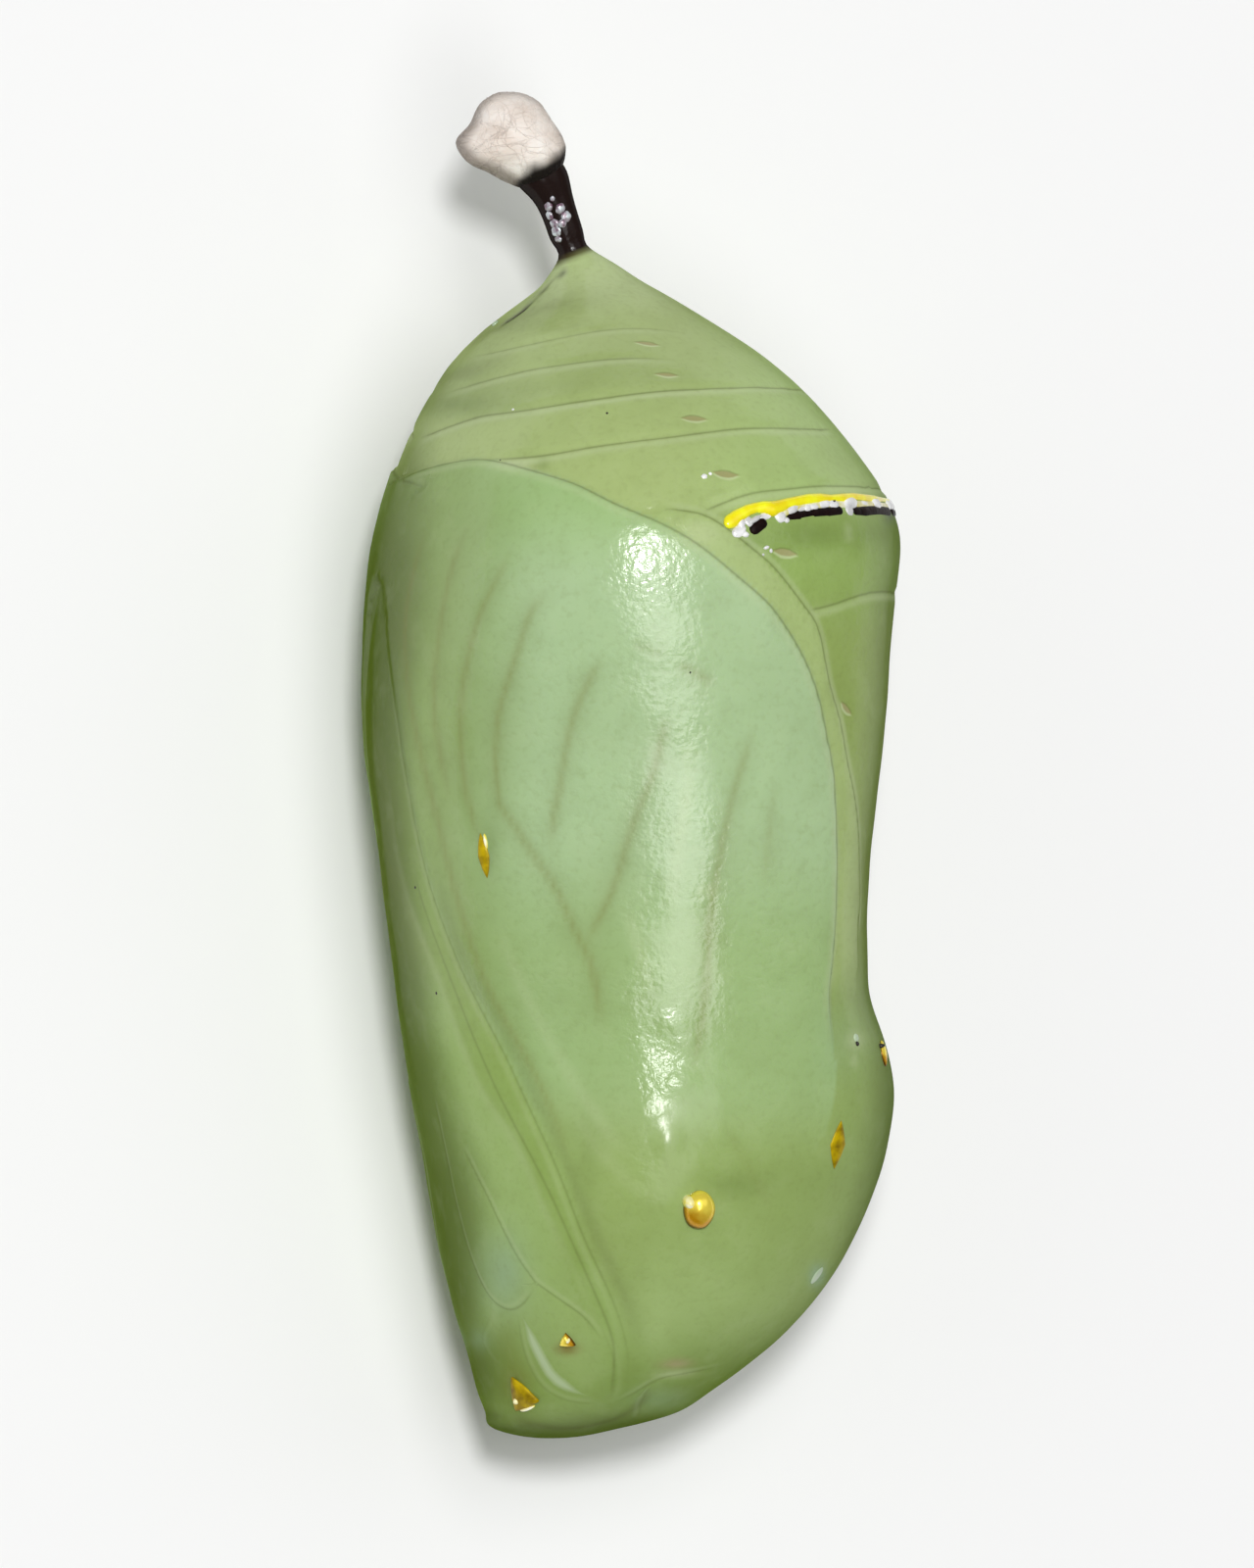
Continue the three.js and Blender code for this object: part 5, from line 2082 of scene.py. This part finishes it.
@dataclass
class SilkButton:
    """The button of silk that the stalk's hooks are caught in.

    Attributes:
        outline: Its outline in the photograph, anticlockwise from the right.
        middle: Its middle in the photograph.
        half_depth: Half of its depth in millimetres.
        strands: How many strands are spun round it.
        strand_steps: How many points a strand follows.
        strand_radius: A strand's radius in millimetres.
    """

    outline: tuple[Pixel, ...] = (
        (573, 150), (568, 137), (560, 124), (550, 111), (537, 101), (522, 96), (506, 96),
        (493, 101), (483, 111), (476, 126), (467, 136), (460, 147), (466, 160), (477, 170),
        (493, 177), (510, 184), (527, 191), (548, 192), (566, 180), (573, 165),
    )
    middle: Pixel = (518, 145)
    half_depth: float = 0.9
    strands: int = 380
    strand_steps: int = 18
    strand_radius: float = 0.007

    # The painted shade at the edge is darkest away from this turn round the middle, which is down and to
    # the left.
    SHADE_TURN = math.radians(45.0)
    OUTLINE_STEPS = 240
    FINENESS = 7
    STRAND_SIDES = 4
    # Below this line the silk is as black as the stalk.
    STAIN_EDGE = ((500, 215), (526, 187), (535, 175), (546, 166), (558, 165), (571, 158), (580, 150))

    def __post_init__(self) -> None:
        """Read the outline as how far it reaches at each turn round the middle."""
        middle = np.array(seen_point(self.middle))
        knots = [seen_point(pixel) for pixel in (*self.outline, self.outline[0])]
        steps = np.linspace(0.0, len(self.outline), self.OUTLINE_STEPS)
        ring = Spline(knots).at(steps) - middle
        turns = np.arctan2(ring[:, 1], ring[:, 0]) % (2 * math.pi)
        order = turns.argsort()
        self.turns = turns[order]
        self.reaches = np.linalg.norm(ring, axis=1)[order]
        self.centre = SEEN_ACROSS * middle[0] / SEEN_ACROSS[0] + LONG_AXIS * middle[1]
        self.centre[2] = 0.0

    def _surface(self, unit: np.ndarray, lift: float = 0.0) -> np.ndarray:
        """Give the lump's surface in the directions of unit vectors."""
        turn = np.arctan2(unit[:, 1], unit[:, 0]) % (2 * math.pi)
        reach = np.interp(turn, self.turns, self.reaches, period=2 * math.pi)
        lumps = 0.02 * ripples(unit, 0.9, 3) * (1.0 - np.abs(unit[:, 2]) * 0.3)
        scale = np.stack([reach, reach, np.full_like(reach, self.half_depth)], axis=1)
        return unit * (scale + lumps[:, None] + lift) + self.centre

    @staticmethod
    def _stain(places: np.ndarray) -> np.ndarray:
        """Give how dark the silk is stained round the stalk."""
        edge = np.array([seen_point(pixel) for pixel in SilkButton.STAIN_EDGE])
        above = places[:, 1] - np.interp(places @ SEEN_ACROSS, edge[:, 0], edge[:, 1])
        return smoothstep(above + 0.06 * ripples(places, 0.6, 6), 0.16, -0.2)

    def mesh(self) -> bpy.types.Mesh:
        """Build the lump.

        Returns:
            The mesh, in millimetres in the animal's own axes.
        """
        bm = bmesh.new()
        bmesh.ops.create_icosphere(bm, subdivisions=self.FINENESS, radius=1.0)
        mesh = finished_mesh(bm, "silk_button")
        places = self._surface(read_places(mesh))
        write_places(mesh, places)
        self._mark(mesh, places)
        return mesh

    def _mark(self, mesh: bpy.types.Mesh, places: np.ndarray) -> None:
        """Store how dark the stain and the shade towards the edge are on a mesh."""
        off = places - self.centre
        seen = np.stack([off @ SEEN_ACROSS, off[:, 1]], axis=1)
        turn = np.arctan2(seen[:, 1], seen[:, 0]) % (2 * math.pi)
        reach = np.interp(turn, self.turns, self.reaches, period=2 * math.pi)
        share = np.linalg.norm(seen, axis=1) / reach
        # Painted shade: the silk darkens towards its edge, least towards the upper right.
        edge = smoothstep(share - 0.12 * np.cos(turn - self.SHADE_TURN), 0.72, 1.02)
        values = np.stack([self._stain(places), edge, np.zeros(len(places))], axis=1)
        write_vectors(mesh, "stain", values)

    def strand_mesh(self) -> bpy.types.Mesh:
        """Spin fine strands round the lump.

        Returns:
            The strands as one mesh, in millimetres in the animal's own axes.
        """
        chance = np.random.default_rng(5)
        bm = bmesh.new()
        for _ in range(self.strands):
            pole = chance.normal(size=3)
            pole /= np.linalg.norm(pole)
            first = np.cross(pole, chance.normal(size=3))
            first /= np.linalg.norm(first)
            second = np.cross(pole, first)
            start, span = chance.uniform(0, 2 * math.pi), chance.uniform(0.4, 1.5)
            turn = np.linspace(start, start + span, self.strand_steps)
            wave = 0.1 * np.sin(turn * chance.uniform(2, 7) + chance.uniform(0, 6))
            unit = np.outer(np.cos(turn), first) + np.outer(np.sin(turn), second)
            unit += np.outer(wave, pole)
            unit /= np.linalg.norm(unit, axis=1, keepdims=True)
            share = np.linspace(0.0, 1.0, self.strand_steps)
            lift = 0.004 - 0.04 * (2 * share - 1) ** 6
            self._add_strand(bm, self._surface(unit) + unit * lift[:, None])
        mesh = finished_mesh(bm, "silk_strands", outward=True)
        self._mark(mesh, read_places(mesh))
        return mesh

    def _add_strand(self, bm: bmesh.types.BMesh, line: np.ndarray) -> None:
        """Add a thin tube along a line.

        Args:
            bm: The mesh to add it to.
            line: The points that it follows.
        """
        ways = np.gradient(line, axis=0)
        ways /= np.linalg.norm(ways, axis=1, keepdims=True)
        side = np.cross(ways, line - self.centre)
        side /= np.linalg.norm(side, axis=1, keepdims=True)
        radii = np.full((len(line), 1), self.strand_radius)
        radii[[0, -1]] = 0.0
        sweep(bm, line, side * radii, np.cross(side, ways) * radii, self.STRAND_SIDES)


@dataclass(frozen=True)
class SilkFinish:
    """Matted cream silk, black round the stalk, with painted shade towards its edge."""

    cream: Colour = (252, 245, 238)
    shade: Colour = (226, 212, 200)
    edge_shade: Colour = (130, 116, 106)
    stain: Colour = (24, 17, 15)

    def material(self) -> bpy.types.Material:
        """Write the material."""
        build = ShaderBuilder("silk")
        cloud = build.noise(1.3, 4.0)
        fibres = build.noise(5.0, 4.0, Vector((1.0, 2.5, 1.0)))
        share = build.math("MULTIPLY_ADD", cloud, 2.6, -0.75, clamp=True)
        colour = build.mix(share, self.shade, self.cream)
        stain, edge, _ = build.split(build.attribute("stain").outputs["Vector"])
        # Painted shade towards the button's edge.
        colour = build.mix(build.math("MULTIPLY", edge, 0.72), colour, self.edge_shade)
        colour = build.mix(stain, colour, self.stain)
        build.set(
            Base_Color=colour,
            Roughness=0.7,
            Normal=build.relief(fibres, 0.03, 0.8),
            Subsurface_Weight=0.2,
            Subsurface_Radius=(1.0, 0.8, 0.7),
            Subsurface_Scale=0.0002,
            Specular_IOR_Level=0.2,
        )
        return build.material


@dataclass(frozen=True)
class Lamp:
    """A round or oval soft light.

    Attributes:
        name: Its name.
        way: Where it stands, as parts of the lens's way, the right and the tail's way.
        distance: How far from the object it stands, in metres.
        size: Its size across the object and along it, in metres.
        power: Its power in watts.
    """

    name: str
    way: tuple[float, float, float]
    distance: float
    size: tuple[float, float]
    power: float


@dataclass(frozen=True)
class Studio:
    """The pale floor, the soft lights and the camera."""

    camera_distance: float = 0.42
    sensor_height: float = 24.0
    clip: tuple[float, float] = (0.005, 10.0)
    frame_middle: Pixel = (PHOTO_WIDTH / 2, PHOTO_HEIGHT / 2)
    room_light: float = 0.12
    floor_tone: float = 0.9
    floor_reach: float = 1.5
    lamps: tuple[Lamp, ...] = (
        Lamp("flash", (1.0, 0.05, 0.15), 0.62, (0.07, 0.08), 1.75),
        Lamp("soft_box", (1.0, 0.17, 0.04), 0.62, (0.25, 0.55), 1.7),
        Lamp("fill_right", (0.8, 0.8, 0.3), 0.7, (0.5, 0.5), 0.4),
        Lamp("fill_left", (0.9, -0.7, 0.2), 0.7, (0.5, 0.5), 0.24),
    )

    def build(self, placing: Placing) -> None:
        """Add everything that isn't part of the object.

        Args:
            placing: How the animal lies in the frame.
        """
        self._floor()
        across, lengthwise = seen_point(self.frame_middle)
        place = SEEN_ACROSS * across + LONG_AXIS * lengthwise
        target = Vector(placing.to_frame(place[None, :])[0])
        back = placing.direction(SEEN_AXIS)
        up = placing.direction(LONG_AXIS)
        self._camera(target, back, up)
        self._lights(target, back, up)
        bpy.context.scene.view_settings.view_transform = "Standard"

    def _floor(self) -> None:
        """Lay a pale floor under the object."""
        bm = bmesh.new()
        bmesh.ops.create_grid(bm, x_segments=1, y_segments=1, size=self.floor_reach)
        mesh = finished_mesh(bm, "floor")
        build = ShaderBuilder("pale_floor")
        build.set(Base_Color=(*[self.floor_tone] * 3, 1.0), Roughness=0.9)
        mesh.materials.append(build.material)
        floor = bpy.data.objects.new("floor", mesh)
        bpy.context.scene.collection.objects.link(floor)

    def _camera(self, target: Vector, back: Vector, up: Vector) -> None:
        """Look down at the object as the photograph does, through a long lens."""
        data = bpy.data.cameras.new("portrait")
        data.sensor_fit = "VERTICAL"
        data.sensor_height = self.sensor_height
        seen_height = PHOTO_HEIGHT * MM_PER_PIXEL * MM
        data.lens = self.sensor_height * self.camera_distance / seen_height
        data.clip_start, data.clip_end = self.clip
        camera = bpy.data.objects.new("portrait", data)
        axes = Matrix((up.cross(back), up, back)).transposed().to_4x4()
        camera.matrix_world = Matrix.Translation(target + back * self.camera_distance) @ axes
        bpy.context.scene.collection.objects.link(camera)
        bpy.context.scene.camera = camera

    def _lights(self, target: Vector, back: Vector, up: Vector) -> None:
        """Light the object with a flash behind the lens, soft fills and a dim pale room."""
        right = up.cross(back)
        for lamp in self.lamps:
            data = bpy.data.lights.new(lamp.name, "AREA")
            data.shape = "ELLIPSE"
            data.size, data.size_y = lamp.size
            data.energy = lamp.power
            light = bpy.data.objects.new(lamp.name, data)
            way = (back * lamp.way[0] + right * lamp.way[1] + up * lamp.way[2]).normalized()
            across = up.cross(way).normalized()
            axes = Matrix((across, way.cross(across), way)).transposed().to_4x4()
            light.matrix_world = Matrix.Translation(target + way * lamp.distance) @ axes
            bpy.context.scene.collection.objects.link(light)
        world = bpy.data.worlds.new("room")
        world.use_nodes = True
        background = world.node_tree.nodes["Background"]
        background.inputs["Color"].default_value = (1.0, 1.0, 1.0, 1.0)
        background.inputs["Strength"].default_value = self.room_light
        bpy.context.scene.world = world


SKIN_MARKS = (
    (YELLOW_BAND, YELLOW_ENAMEL),
    (WHITE_BEADS, WHITE_ENAMEL_AND_GLINT),
    (PALE_BAND, PALE_ENAMEL),
    (BLACK_BAND, BLACK_ENAMEL),
    (GOLD_SPOTS, GOLD),
    (GOLD_MARKS, DULL_GOLD),
    (GOLD_GLINTS, GOLD_GLINT_HIGHLIGHT),
    (PALE_BUMPS, PALE_SKIN),
    (SPARKLES, WHITE_ENAMEL_AND_GLINT),
    (DARK_SPECKS, PITCH),
    (DARK_PITS, PITCH),
    (STALK_GLINTS, GLINT),
)


def main() -> None:
    """Build the chrysalis and its studio, and write how big both models are."""
    logging.basicConfig(level=logging.INFO, format="%(asctime)s %(name)s: %(message)s")
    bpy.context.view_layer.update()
    canvas = Canvas(BodyForm())
    LOG.info("canvas laid out")
    skin = Skin(canvas)
    skin_mesh = skin.mesh()
    placing = Placing(skin_mesh)
    Studio().build(placing)
    silk = SilkButton()
    silk_finish = SilkFinish().material()
    for name, mesh, finish, slot, node in (
        ("skin", skin_mesh, SkinFinish().material(), "pupa_skin", "pupa"),
        *(
            (marks.name, marks.mesh(skin), finish.material(), "pupa_skin", "pupa")
            for marks, finish in SKIN_MARKS
        ),
        ("silk_button", silk.mesh(), silk_finish, "silk", "silk_pad"),
        ("silk_strands", silk.strand_mesh(), silk_finish, "silk", "silk_pad"),
    ):
        placing.settle(mesh)
        add_piece(name, mesh, finish, node)


if __name__ == "__main__":
    main()
